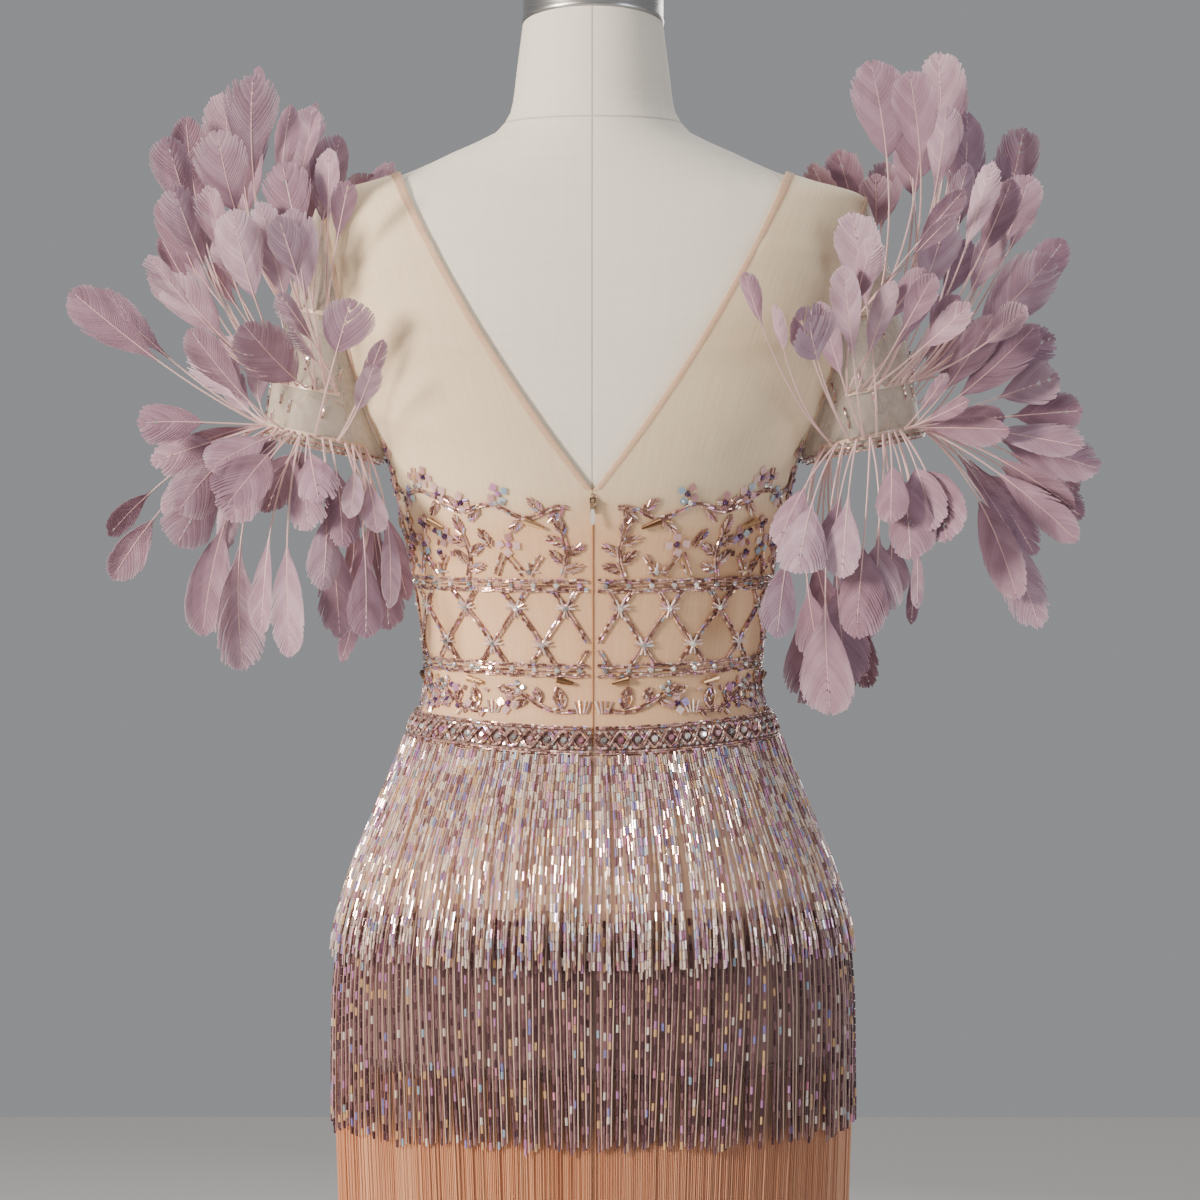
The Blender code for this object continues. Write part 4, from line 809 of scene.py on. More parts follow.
def stored(tree, geometry, name, value, domain):
    values = {"Geometry": geometry, "Name": name, "Value": value}
    return result(tree, "GeometryNodeStoreNamedAttribute", values, data_type='FLOAT', domain=domain)


def build_bead_threader():
    """Puts a bead on each length of every line. A bead with a narrow end is a cone or a cut stone."""
    tree, start, end = new_group(
        "bead threader", "GeometryNodeTree",
        {"Lines": "Geometry", "Bead length": "Float", "Gap share": "Float", "Start radius": "Float",
         "End radius": "Float", "Sides": "Int", "Tilt": "Float", "Seed": "Int", "Finish": "Material"},
        {"Beads": "Geometry"})
    line = result(tree, "GeometryNodeMeshToCurve", {"Mesh": start["Lines"]})
    cut_at = {"Curve": line, "Length": start["Bead length"]}
    cut = result(tree, "GeometryNodeResampleCurve", cut_at, mode='LENGTH')
    lengths = result(tree, "GeometryNodeCurveToMesh", {"Curve": cut})
    ends = tree.nodes.new("GeometryNodeInputMeshEdgeVertices").outputs
    along = result(tree, "ShaderNodeVectorMath", {0: ends["Position 2"], 1: ends["Position 1"]},
                   operation='SUBTRACT')
    kept = tree.nodes.new("GeometryNodeCaptureAttribute")
    kept.domain = 'EDGE'
    for item in ("along", "foot"):
        kept.capture_items.new('VECTOR', item)
    for item, value in (("Geometry", lengths), ("along", along), ("foot", ends["Position 1"])):
        tree.links.new(value, kept.inputs[item])
    spots = result(tree, "GeometryNodeMeshToPoints", {"Mesh": kept.outputs["Geometry"],
                                                      "Position": kept.outputs["foot"]}, mode='EDGES')
    depth = sums(tree, 'SUBTRACT', 1.0, start["Gap share"])
    bead = result(tree, "GeometryNodeMeshCone", {
        "Vertices": start["Sides"], "Radius Bottom": start["Start radius"], "Radius Top": start["End radius"],
        "Depth": depth})
    # Each bead points along its length, at any turn about it, and leans a little.
    pose = result(tree, "FunctionNodeAlignRotationToVector", {"Vector": kept.outputs["along"]}, axis='Z')
    spin = any_number(tree, 0.0, 2 * math.pi, start["Seed"])
    lean = sums(tree, 'MULTIPLY', any_number(tree, -1.0, 1.0, LEAN_SEED), start["Tilt"])
    for axis, angle in (((0.0, 0.0, 1.0), spin), ((1.0, 0.0, 0.0), lean)):
        turn = result(tree, "FunctionNodeAxisAngleToRotation", {"Axis": axis, "Angle": angle})
        pose = result(tree, "FunctionNodeRotateRotation", {0: pose, 1: turn}, rotation_space='LOCAL')
    stretch = place(tree, "ShaderNodeVectorMath", {0: kept.outputs["along"]}, operation='LENGTH')
    size = result(tree, "ShaderNodeCombineXYZ", {0: 1.0, 1: 1.0, 2: stretch.outputs["Value"]})
    threaded = result(tree, "GeometryNodeInstanceOnPoints",
                      {"Points": spots, "Instance": bead, "Rotation": pose, "Scale": size})
    for number, name in enumerate(("tone", "gleam")):
        threaded = stored(tree, threaded, name, any_number(tree, 0.0, 1.0, TONE_SEED + number), 'INSTANCE')
    solid = result(tree, "GeometryNodeRealizeInstances", {"Geometry": threaded})
    flat = result(tree, "GeometryNodeSetShadeSmooth", {"Geometry": solid, "Shade Smooth": False})
    dressed = result(tree, "GeometryNodeSetMaterial", {"Geometry": flat, "Material": start["Finish"]})
    tree.links.new(dressed, end["Beads"])
    return tree


bead_threader = build_bead_threader()


def grown(name, lines, tree, values):
    """A plain mesh that a node tree grows from lines, each a row of points."""
    edges = []
    first = 0
    for line in lines:
        edges += [(number, number + 1) for number in range(first, first + len(line) - 1)]
        first += len(line)
    seed_mesh = bpy.data.meshes.new(name + "_lines")
    seed_mesh.from_pydata(np.concatenate(lines).tolist(), edges, [])
    grower = bpy.data.objects.new(name + "_lines", seed_mesh)
    bpy.context.scene.collection.objects.link(grower)
    modifier = grower.modifiers.new("grow", 'NODES')
    modifier.node_group = tree
    for item in tree.interface.items_tree:
        if item.in_out == 'INPUT' and item.name in values:
            modifier[item.identifier] = values[item.name]
    evaluated = grower.evaluated_get(bpy.context.evaluated_depsgraph_get())
    mesh = bpy.data.meshes.new_from_object(evaluated)
    bpy.data.objects.remove(grower)
    made = bpy.data.objects.new(name, mesh)
    mesh.name = name
    bpy.context.scene.collection.objects.link(made)
    return made


def beads(name, lines, finish, length, radius, sides=6, end_radius=None, gap=0.10, tilt=0.05):
    """Beads of one kind on many lines, as one mesh."""
    made = grown(name, lines, bead_threader, {
        "Bead length": length, "Gap share": gap, "Start radius": radius,
        "End radius": radius if end_radius is None else end_radius, "Sides": sides, "Tilt": tilt,
        "Seed": THREAD_SEED, "Finish": finish})
    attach(made, "dress")
    return made


def build_bead_lustre():
    """The colours of glass beads: each has its own tone, and a few take other hues: iridescent ones, and a
    near-white painted glint.
    """
    group, start, end = new_group("bead lustre", "ShaderNodeTree",
                                  {"Dark": "Color", "Light": "Color", "Share that gleams": "Float"},
                                  {"Colour": "Color"})
    gleam = attribute(group, "gleam")
    tone = result(group, "ShaderNodeMapRange", {0: attribute(group, "tone"), 1: 0.15, 2: 0.85})
    plain = between(group, tone, start["Dark"], start["Light"])
    # The ramp's blues, violets, golds and pinks are the beads' iridescence, and its near-white cream is a
    # painted glint.
    hues = group.nodes.new("ShaderNodeValToRGB")
    hues.color_ramp.interpolation = 'CONSTANT'
    ramp = hues.color_ramp.elements
    ramp[0].position, ramp[0].color = 0.0, (0.92, 0.58, 0.26, 1)
    ramp[1].position, ramp[1].color = 0.20, (0.66, 0.28, 0.62, 1)
    for at, colour in ((0.38, (0.30, 0.28, 0.74, 1)), (0.52, (1.0, 0.92, 0.84, 1)),
                       (0.78, (0.40, 0.62, 0.80, 1)), (0.88, (0.88, 0.32, 0.50, 1))):
        ramp.new(at).color = colour
    spread = sums(group, 'FRACT', sums(group, 'MULTIPLY', gleam, 7.31))
    group.links.new(spread, hues.inputs[0])
    # The beads with iridescence and painted glints are those whose number falls under the share.
    iridescent_and_glinting = sums(group, 'LESS_THAN', gleam, start["Share that gleams"])
    colour = between(group, sums(group, 'MULTIPLY', iridescent_and_glinting, 0.75), plain, hues.outputs[0])
    group.links.new(colour, end["Colour"])
    return group


bead_lustre = build_bead_lustre()


def bead_finish(name, dark, light, share, **values):
    """Glass or foiled beads, which differ only in their plain values and colours."""
    finish, tree, shader = new_finish(name, **values)
    lustre = result(tree, "ShaderNodeGroup", {"Dark": dark, "Light": light, "Share that gleams": share},
                    node_tree=bead_lustre)
    tree.links.new(lustre, shader.inputs["Base Color"])
    return finish


# The fringe
# Three tiers on narrow tapes. The upper one is dense strands of silver-lined bugles, the middle one darker
# bugles set wider apart with fine threads between them, and the lower one soft peach thread.

TRIM_LIFT = 0.0041
TAPE_HEIGHT = 0.010
BAND_LOW_SIDE = 0.9975
BAND_DIP = 0.0065
ZIP_OPENING = 0.0010
STRAND_STEP = 0.012
BUGLE_RADIUS = 0.00078
TIER_ROUND = 0.165       # roughly the skirt's half width, for turning metres into an angle

Tier = namedtuple("Tier", "name top thick strands bottom uneven spread lifts open_back")
UPPER_TIER = Tier("fringe_upper", None, 0.0020, 430, 0.8465, 0.0085, 0.0040,
                  ((0.990, 0.0062), (0.945, 0.0072), (0.897, 0.0092), (0.840, 0.0100)), True)
MIDDLE_TIER = Tier("fringe_middle", 0.886, 0.0018, 186, 0.7195, 0.0055, 0.0022,
                   ((0.886, 0.0050), (0.845, 0.0062), (0.785, 0.0074), (0.712, 0.0084)), False)
LOWER_TIER = Tier("fringe_lower", 0.776, 0.0016, 680, 0.5000, 0.0030, 0.0014,
                  ((0.776, 0.0048), (0.690, 0.0052), (0.495, 0.0056)), False)


def band_low(angle):
    return BAND_LOW_SIDE - BAND_DIP * np.sin(angle)**2


def round_from_zip(count, opening):
    """Angles all round the body, starting and ending at the zip."""
    start = QUARTER + opening / 0.1
    return np.linspace(start, start + 2 * math.pi - 2 * opening / 0.1, count)


def tier_tape(tier, finish):
    """The narrow tape that carries a tier."""
    angles = round_from_zip(241, ZIP_OPENING if tier.open_back else 0.0)
    top = band_low(angles) - 2 * SEAM if tier.top is None else np.full(len(angles), tier.top)
    heights = np.stack([top - TAPE_HEIGHT, top - TAPE_HEIGHT / 2, top])
    return body_strip(f"{tier.name}_tape", np.tile(angles, (3, 1)), heights, TRIM_LIFT,
                      TRIM_LIFT + tier.thick * 0.6, finish)


def tier_strands(tier, share_of_strand=1.0, offset=0.0, step_down=STRAND_STEP):
    """The lines of a tier's strands. Each hangs from the tape, and wanders a little on its way down."""
    chance = random.Random(tier.name)
    levels, lifts = np.array(tier.lifts)[::-1].T
    angles = round_from_zip(tier.strands + 1, ZIP_OPENING)[:-1]
    step = angles[1] - angles[0]
    lines = []
    clump_end = 0
    for number, angle in enumerate(angles + step * (0.5 + offset)):
        if number >= clump_end:
            clump_middle = number + chance.uniform(3, 9)
            clump_end = 2 * clump_middle - number
            clump_pull = chance.uniform(0, 62 * tier.spread)
        top = band_low(angle) + 0.001 if tier.top is None else tier.top - TAPE_HEIGHT / 2
        top -= chance.uniform(0, 0.004)
        # Most strands end near the tier's bottom, and a few end higher or lower.
        bottom = tier.bottom + chance.uniform(-tier.uneven, tier.uneven) ** 3 / tier.uneven**2
        bottom = top + (bottom - top) * share_of_strand
        count = max(3, int((top - bottom) / step_down))
        phase = chance.uniform(0, 2 * math.pi)
        swing = chance.uniform(-1, 1)
        depth = chance.uniform(0, 0.0016)
        down = np.linspace(0, 1, count + 1)
        height = top + (bottom - top) * down
        sway = tier.spread * (swing * down**1.5 + 0.35 * down * np.sin(phase + 5 * down))
        sway += clump_pull * (clump_middle - number) * step * TIER_ROUND * down**0.8
        lift = np.interp(height, levels, lifts) + depth
        lines.append(body_point(angle + sway / TIER_ROUND, height, lift))
    return lines


nude_tape_finish = build_doubled_tulle("nude fringe tape", (0.50, 0.31, 0.24, 1), (0.66, 0.44, 0.35, 1))
# The lower tier's tape hangs under the middle tier, and its dark colour is painted shade like the lining's
# there.
shaded_tape_finish = build_doubled_tulle("dusky fringe tape", (0.20, 0.115, 0.095, 1), (0.30, 0.18, 0.15, 1))
light_bugles = bead_finish("light bugles", (0.30, 0.145, 0.155, 1), (0.99, 0.83, 0.71, 1), 0.36,
                           roughness=0.16, metallic=0.42, coat_weight=0.6)
dark_bugles = bead_finish("dark bugles", (0.075, 0.030, 0.042, 1), (0.26, 0.125, 0.145, 1), 0.17,
                          roughness=0.14, metallic=0.35, coat_weight=0.5)


def dress_tier(tier, tape_finish):
    """Makes a tier's tape, which rides on the dress, and hides the tier's solid, for which its strands stand.
    """
    tape = tier_tape(tier, tape_finish)
    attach(tape, "dress")
    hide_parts(tier.name)


upper = beads("fringe_upper_strands", tier_strands(UPPER_TIER), light_bugles, 0.0065, BUGLE_RADIUS, sides=5,
              gap=0.07, tilt=0.03)
dress_tier(UPPER_TIER, nude_tape_finish)
middle = beads("fringe_middle_strands", tier_strands(MIDDLE_TIER), dark_bugles, 0.0058, BUGLE_RADIUS * 1.25,
               sides=5, gap=0.08, tilt=0.03)
dress_tier(MIDDLE_TIER, nude_tape_finish)
SPINNER_SEED = 9
def build_spinner():
    """Gives each line of a mesh the round body of a spun thread."""
    tree, start, end = new_group("thread spinner", "GeometryNodeTree",
                                 {"Lines": "Geometry", "Thread radius": "Float", "Sides": "Int",
                                  "Finish": "Material"}, {"Threads": "Geometry"})
    line = result(tree, "GeometryNodeMeshToCurve", {"Mesh": start["Lines"]})
    toned = stored(tree, line, "tone", any_number(tree, 0.0, 1.0, SPINNER_SEED), 'CURVE')
    ring = result(tree, "GeometryNodeCurvePrimitiveCircle", {"Resolution": start["Sides"],
                                                             "Radius": start["Thread radius"]})
    spun = result(tree, "GeometryNodeCurveToMesh", {"Curve": toned, "Profile Curve": ring, "Fill Caps": True})
    solid = result(tree, "GeometryNodeRealizeInstances", {"Geometry": spun})
    dressed = result(tree, "GeometryNodeSetMaterial", {"Geometry": solid, "Material": start["Finish"]})
    tree.links.new(dressed, end["Threads"])
    return tree


spinner = build_spinner()


def thread_finish(name, dark, light, shade_above):
    """Matt thread with painted shade above a height, under the tier that hangs over it."""
    finish, tree, shader = new_finish(name, roughness=0.55, sheen_weight=0.3, sheen_roughness=0.4)
    colour = between(tree, attribute(tree, "tone"), dark, light)
    # Painted shade: the thread is darkened above the height, where the tier over it would shade it.
    shaded = between(tree, 0.66, colour, (0.16, 0.085, 0.065, 1))
    colour = between(tree, above(tree, shade_above, 0.018), colour, shaded)
    tree.links.new(colour, shader.inputs["Base Color"])
    return finish


THREAD_RADIUS = 0.00055
THREAD_STEP = 0.028
peach_thread = thread_finish("peach thread", (0.51, 0.19, 0.084, 1), (0.72, 0.35, 0.18, 1), PEACH_BELOW)
beige_thread = thread_finish("beige thread", (0.40, 0.235, 0.19, 1), (0.62, 0.42, 0.35, 1), 2.0)
lower = grown("fringe_lower_threads", tier_strands(LOWER_TIER, step_down=THREAD_STEP), spinner,
              {"Thread radius": THREAD_RADIUS, "Sides": 3, "Finish": peach_thread})
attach(lower, "dress")
dress_tier(LOWER_TIER, shaded_tape_finish)
between_strands = grown("fringe_middle_threads", tier_strands(MIDDLE_TIER, 0.985, 0.5, THREAD_STEP), spinner,
                        {"Thread radius": THREAD_RADIUS, "Sides": 3, "Finish": beige_thread})
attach(between_strands, "dress")


# The sleeves
# Short cap sleeves of stiff organza, cut in one piece each and set into the armhole. The cloth stands away
# from the arm, with crisp creases, and its cuff is edged with beads.

CUFF_MIDDLE = (0.1985, 0.000, 1.208)
CUFF_HALF_WIDTH = 0.0400
CUFF_HALF_DEPTH = 0.058
CUFF_RISE = 0.009
SLEEVE_BULGE = 0.004
SLEEVE_TURNS = 96
SLEEVE_ROWS = 32
SLEEVE_THICK = 0.0004
SLEEVE_LIFT = 0.0004
CRUMPLE = 0.0011


def armhole_ring(turn):
    """Angle and height on the armhole for a turn round the sleeve: 0 at the shoulder, 90 degrees behind."""
    wrapped = (turn + math.pi) % (2 * math.pi) - math.pi
    side = 1 if wrapped >= 0 else -1
    return armhole_edge(1 - abs(wrapped) / math.pi, side)


@lru_cache(maxsize=None)
def sleeve_start(turn):
    """Where the sleeve leaves the armhole."""
    angle, height = armhole_ring(turn)
    below = max(0.0, -math.cos(turn)) * 2 * CLOTH
    return body_point(angle, height, SKIN + CLOTH + 2 * SEAM + below)


def sleeve_cuff(turn):
    x, y, z = CUFF_MIDDLE
    return np.array((x + CUFF_HALF_WIDTH * math.cos(turn), y + CUFF_HALF_DEPTH * math.sin(turn),
                     z + CUFF_RISE * math.cos(turn)))


def sleeve_point(turn, share, lift=0.0):
    """A point on the wearer's left sleeve, a share of the way from the armhole to the cuff."""
    def bare(at_turn, at_share):
        start = sleeve_start(at_turn)
        end = sleeve_cuff(at_turn)
        outward = np.array((math.cos(at_turn), math.sin(at_turn), 0.0))
        return start + (end - start) * at_share + outward * SLEEVE_BULGE * 4 * at_share * (1 - at_share)

    if lift == 0.0:
        return bare(turn, share)
    small = 0.02
    round_way = bare(turn + small, share) - bare(turn - small, share)
    down_way = bare(turn, min(share + small, 1.0)) - bare(turn, max(share - small, 0.0))
    normal = np.cross(down_way, round_way)
    return bare(turn, share) + lift * normal / np.linalg.norm(normal)


def sleeve_share(turn, from_cuff):
    """The share of the sleeve's length that lies this far above the cuff."""
    length = np.linalg.norm(sleeve_cuff(turn) - sleeve_start(turn))
    return 1 - from_cuff / length


def crumple(turn, share):
    """Crisp creases of the organza, which die away at the armhole and at the cuff."""
    wave = noise.noise(Vector((math.cos(turn) * 3.1, math.sin(turn) * 3.1, share * 2.6)))
    fine = noise.noise(Vector((math.cos(turn) * 7.3, math.sin(turn) * 7.3, share * 5.0 + 9)))
    ridge = 1 - abs(wave) * 2.2
    return CRUMPLE * (max(0.0, ridge) * 0.8 + fine * 0.5) * math.sin(math.pi * min(1, max(0, share)))**0.6


def build_organza():
    finish, tree, shader = new_finish("organza", roughness=0.38, sheen_weight=0.3, sheen_roughness=0.35)
    threads, where = weave(tree, 0.0007, 0.5)
    cloud = cloudy(tree, where, 60.0, 4.0, 1.5)
    slant = place(tree, "ShaderNodeLayerWeight", {"Blend": 0.4}).outputs["Facing"]
    tone = scaled(tree, cloud, 0.6, sums(tree, 'MULTIPLY', threads["Tone"], 0.4))
    colour = between(tree, tone, (0.48, 0.37, 0.28, 1), (0.88, 0.76, 0.63, 1))
    tree.links.new(colour, shader.inputs["Base Color"])
    cover = scaled(tree, slant, 0.5, scaled(tree, cloud, 0.35, 0.10))
    tree.links.new(sums(tree, 'MINIMUM', cover, 0.95), shader.inputs["Alpha"])
    bump(tree, shader, scaled(tree, cloud, 6.0, threads["Relief"]), 0.00015, 0.7)
    return finish


organza = build_organza()
sleeve_turns = [2 * math.pi * step / SLEEVE_TURNS - math.pi for step in range(SLEEVE_TURNS)]
sleeve_shares = np.linspace(0.0, 1.0, SLEEVE_ROWS + 1)
sleeve_skins = [np.array([[sleeve_point(turn, share, SLEEVE_LIFT + thick + crumple(turn, share))
                           for turn in sleeve_turns] for share in sleeve_shares])
                for thick in (SLEEVE_THICK, 0.0)]
sleeve_faces = grid_faces(SLEEVE_ROWS + 1, SLEEVE_TURNS, closed=True)
for word, mirror in (("left", 1), ("right", -1)):
    outer, inner = (skin * (mirror, 1, 1) for skin in sleeve_skins)
    # The tube is grown downwards, so on the wearer's left its faces are turned to look out.
    faces = [face[::-mirror] for face in sleeve_faces]
    sleeve = sheet_piece(f"sleeve_{word}_organza", outer, inner, faces, organza, cloth_uvs(outer))
    sleeve.data.set_sharp_from_angle(angle=math.radians(60))
    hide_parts(f"sleeve_{word}")
    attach(sleeve, "dress")


# The feathers
# Stripped goose feathers, dyed a dusty mauve. Each is a bare pale quill with a rounded blade left at its
# end, whose barbs part here and there. They are sewn in three rows of tape round each sleeve.

QUILL_HALF = 0.0009
TAPE_LIFT = 0.0011
TAPE_THICK = 0.0015
FRONT_EVERY = 8
FEATHER_SEED = 11
FEATHER_PATH_SAMPLES = 44
SHIFTS = (0.0, 0.008, -0.008, 0.016, -0.016, 0.024, -0.024, 0.032, -0.032, 0.040, 0.048)
MOST_ROOM = 0.006
BODY_ROOM = 0.0075
SLEEVE_ROOM = 0.0022
BLADE_SHARES = (0.0, 0.30, 0.60, 0.86, 1.0)
BLADE_WIDTHS = (0.04, 0.74, 1.00, 0.78, 0.22)

Band = namedtuple("Band", "from_cuff height widest")
BANDS = {
    "upper": Band(0.094, 0.0036, math.radians(80)),
    "middle": Band(0.040, 0.0036, math.radians(104)),
    "lower": Band(0.0075, 0.0036, math.radians(138)),
}

Feather = namedtuple("Feather", "band out up back blade width")

def feather_table(*rows):
    """Feathers from rows that start with the tape's name and then give each feather in millimetres."""
    return [Feather(band, *(size / 1000 for size in sizes)) for band, *own in rows for sizes in own]


# Where each feather of the back ends, out from the middle of the body, up from the floor and back, and how
# long and wide its blade is.
LEFT_FEATHERS = feather_table(
    ("upper",
     (239, 1483, 30, 77, 12), (239, 1471, 85, 65, 34), (261, 1461, 45, 65, 34), (202, 1457, 20, 70, 26),
     (186, 1420, 75, 45, 16), (215, 1453, 60, 50, 18)),
    ("middle",
     (289, 1444, 65, 74, 26), (299, 1428, 85, 62, 30), (305, 1390, 50, 50, 22), (268, 1392, 105, 50, 20),
     (312, 1362, 25, 46, 12), (299, 1332, 80, 62, 36), (250, 1373, 125, 60, 30), (233, 1381, 100, 60, 24),
     (219, 1410, 95, 45, 34), (244, 1296, 120, 70, 34), (218, 1316, 115, 40, 14)),
    ("lower",
     (373, 1322, 50, 74, 33), (283, 1293, 95, 70, 22), (167, 1312, 125, 36, 34), (151, 1266, 135, 50, 16),
     (324, 1228, 60, 45, 32), (307, 1203, 30, 64, 18), (272, 1194, 90, 55, 30), (309, 1162, 40, 53, 17),
     (295, 1139, 75, 62, 34), (255, 1167, 110, 55, 34), (265, 1135, 50, 58, 20), (349, 1114, 20, 47, 22),
     (251, 1050, 50, 80, 34), (213, 1061, 90, 68, 24), (181, 1055, 40, 68, 12), (179, 1073, 75, 64, 28),
     (159, 1075, 105, 58, 24), (144, 1095, 70, 58, 16), (200, 1151, 105, 50, 32), (175, 1139, 85, 55, 24),
     (151, 1149, 110, 48, 18)),
    ("upper",
     (162, 1412, -50, 45, 30), (150, 1424, -70, 40, 18)))
RIGHT_FEATHERS = feather_table(
    ("upper",
     (201, 1491, 5, 70, 40), (246, 1491, 50, 62, 32), (261, 1477, 20, 50, 18), (248, 1449, 90, 58, 22),
     (258, 1388, 120, 45, 18)),
    ("middle",
     (267, 1448, 70, 70, 32), (310, 1439, 30, 50, 28), (278, 1408, 110, 54, 20), (312, 1403, 55, 50, 26),
     (315, 1386, 20, 36, 15), (287, 1366, 75, 45, 22), (250, 1371, 100, 56, 30), (329, 1346, 50, 70, 34),
     (257, 1315, 95, 42, 18), (210, 1324, 120, 56, 15), (236, 1329, 125, 48, 18), (194, 1354, 130, 45, 20)),
    ("lower",
     (316, 1297, 60, 70, 28), (285, 1305, 20, 50, 14), (182, 1374, 110, 58, 28), (174, 1335, 125, 62, 20),
     (104, 1328, 150, 40, 13), (147, 1298, 150, 35, 36), (353, 1236, 30, 48, 30), (362, 1193, 55, 68, 34),
     (345, 1142, 65, 69, 25), (356, 1158, 10, 58, 26), (263, 1242, 100, 44, 12), (295, 1222, 80, 62, 20),
     (251, 1142, 95, 50, 36), (320, 1131, 15, 80, 22), (321, 1079, 45, 80, 28), (223, 1130, 100, 52, 30),
     (227, 1083, 60, 48, 9), (170, 1018, 60, 70, 36), (192, 1087, 45, 45, 30), (143, 1122, 115, 52, 32),
     (175, 1117, 110, 56, 26), (130, 1075, 100, 58, 26), (185, 1073, 85, 56, 34), (163, 1058, 50, 48, 26)),
    ("upper",
     (180, 1430, -40, 45, 26)))


def plan_feathers(table):
    """The table's feathers and those that meet them at the front, grouped by tape and in order round it."""
    chance = random.Random(FEATHER_SEED)
    planned = []
    for number, feather in enumerate(table):
        planned.append((feather, chance.uniform(-0.5, 0.5), chance.uniform(-1, 1)))
        if number % FRONT_EVERY == 2 and feather.back > 0:
            front = feather._replace(out=feather.out - 0.004, back=-feather.back - 0.012)
            planned.append((front, chance.uniform(-0.5, 0.5), chance.uniform(-1, 1)))
    return planned


def tip_turn(feather):
    return math.atan2(feather.back, feather.out - CUFF_MIDDLE[0])


def root_turns(planned, band_name):
    """The turn of each root on one tape: the back and the front share their feathers out evenly."""
    widest = BANDS[band_name].widest
    turns = {}
    for side in (1, -1):
        group = [index for index, (feather, _, _) in enumerate(planned)
                 if feather.band == band_name and (feather.back > 0) == (side > 0)]
        group.sort(key=lambda index: abs(tip_turn(planned[index][0])))
        for place, index in enumerate(group):
            turns[index] = side * widest * (place + 0.5) / len(group)
    return turns


def feather_path(root, leave, feather, shift, samples):
    """Points along the shaft: it leaves the tape outward and bends towards its tip."""
    tip = np.array((feather.out, feather.back + shift, feather.up))
    reach = np.linalg.norm(tip - root)
    heading = (tip - root) / reach
    first = heading + 0.55 * leave
    first = first / np.linalg.norm(first)
    control = root + first * reach * 0.42
    t = np.linspace(0, 1, samples)[:, None]
    return root * (1 - t)**2 + 2 * control * t * (1 - t) + tip * t**2, reach


def feather_frame(path, index, roll):
    """Heading, width and thickness directions of the feather at one of its points."""
    before = path[max(index - 1, 0)]
    after = path[min(index + 1, len(path) - 1)]
    heading = (after - before) / np.linalg.norm(after - before)
    wide = np.cross(heading, (0.0, 1.0, 0.0))
    if np.linalg.norm(wide) < 0.2:
        wide = np.cross(heading, (1.0, 0.0, 0.0))
    wide = wide / np.linalg.norm(wide)
    thick = np.cross(heading, wide)
    turned = wide * math.cos(roll) + thick * math.sin(roll)
    return heading, turned, np.cross(heading, turned)


def blade_half(feather, share):
    """Half the width of the blade at a share of its length."""
    return feather.width / 2 * np.interp(share, BLADE_SHARES, BLADE_WIDTHS)


def feather_samples(path, reach, feather, roll):
    """Points over a feather and how much room each of them needs, to keep feathers apart."""
    blade_start = 1 - feather.blade / reach
    points = []
    rooms = []
    for index in range(len(path)):
        t = index / (len(path) - 1)
        if t < blade_start:
            points.append(path[index])
            rooms.append(0.0013)
            continue
        _, wide, _ = feather_frame(path, index, roll)
        half = blade_half(feather, (t - blade_start) / (1 - blade_start))
        for across in np.arange(-half, half + 1e-6, max(half / 3, 0.002)):
            points.append(path[index] + wide * across)
            rooms.append(0.0029)
    return np.array(points), np.array(rooms)


def outside_body(points, room):
    """Whether every point lies clear of the dressed form."""
    inside_height = points[points[:, 2] < 1.45]
    line = side_line(inside_height[:, 2])
    angle = np.arctan2(inside_height[:, 1] - line, inside_height[:, 0])
    surface = bare_point(angle, inside_height[:, 2])
    own = np.hypot(inside_height[:, 0], inside_height[:, 1] - line)
    limit = np.hypot(surface[:, 0], surface[:, 1] - line)
    return bool(np.all(own > limit + room))


def sleeve_samples():
    turns = np.linspace(-math.pi, math.pi, 72)
    return np.array([sleeve_point(turn, share, CLOTH) for turn in turns for share in np.linspace(0, 1, 26)])


def clear_of(points, rooms, others, other_rooms):
    """Whether every point keeps its room from some others."""
    near = (others > points.min(axis=0) - MOST_ROOM) & (others < points.max(axis=0) + MOST_ROOM)
    near = np.all(near, axis=1)
    others = others[near]
    other_rooms = other_rooms[near]
    for start in range(0, len(points), 40):
        gaps = np.linalg.norm(points[start:start + 40, None, :] - others[None, :, :], axis=-1)
        if np.any(gaps < rooms[start:start + 40, None] + other_rooms[None, :]):
            return False
    return True


def settle_feathers(table):
    """Each feather on the left sleeve. One that would cross another moves its tip back or forth."""
    planned = plan_feathers(table)
    turns = {}
    for band_name in BANDS:
        turns.update(root_turns(planned, band_name))
    sleeve = sleeve_samples()
    sleeve_rooms = np.full(len(sleeve), SLEEVE_ROOM)
    taken = np.zeros((0, 3))
    taken_rooms = np.zeros(0)
    settled = []
    for index, (feather, roll, curl) in enumerate(planned):
        band = BANDS[feather.band]
        turn = turns[index]
        share = sleeve_share(turn, band.from_cuff + band.height / 2)
        root = sleeve_point(turn, share, CLOTH + TAPE_LIFT + TAPE_THICK)
        leave = root - sleeve_point(turn, share, CLOTH)
        leave = leave / np.linalg.norm(leave)
        for shift in SHIFTS:
            path, reach = feather_path(root, leave, feather, shift, FEATHER_PATH_SAMPLES)
            points, rooms = feather_samples(path, reach, feather, roll)
            if (outside_body(points[3:], BODY_ROOM) and clear_of(points[3:], rooms[3:], sleeve, sleeve_rooms)
                    and clear_of(points[3:], rooms[3:], taken, taken_rooms)):
                settled.append((feather, turn, path, reach, roll, curl))
                taken = np.concatenate([taken, points])
                taken_rooms = np.concatenate([taken_rooms, rooms])
                break
    return settled


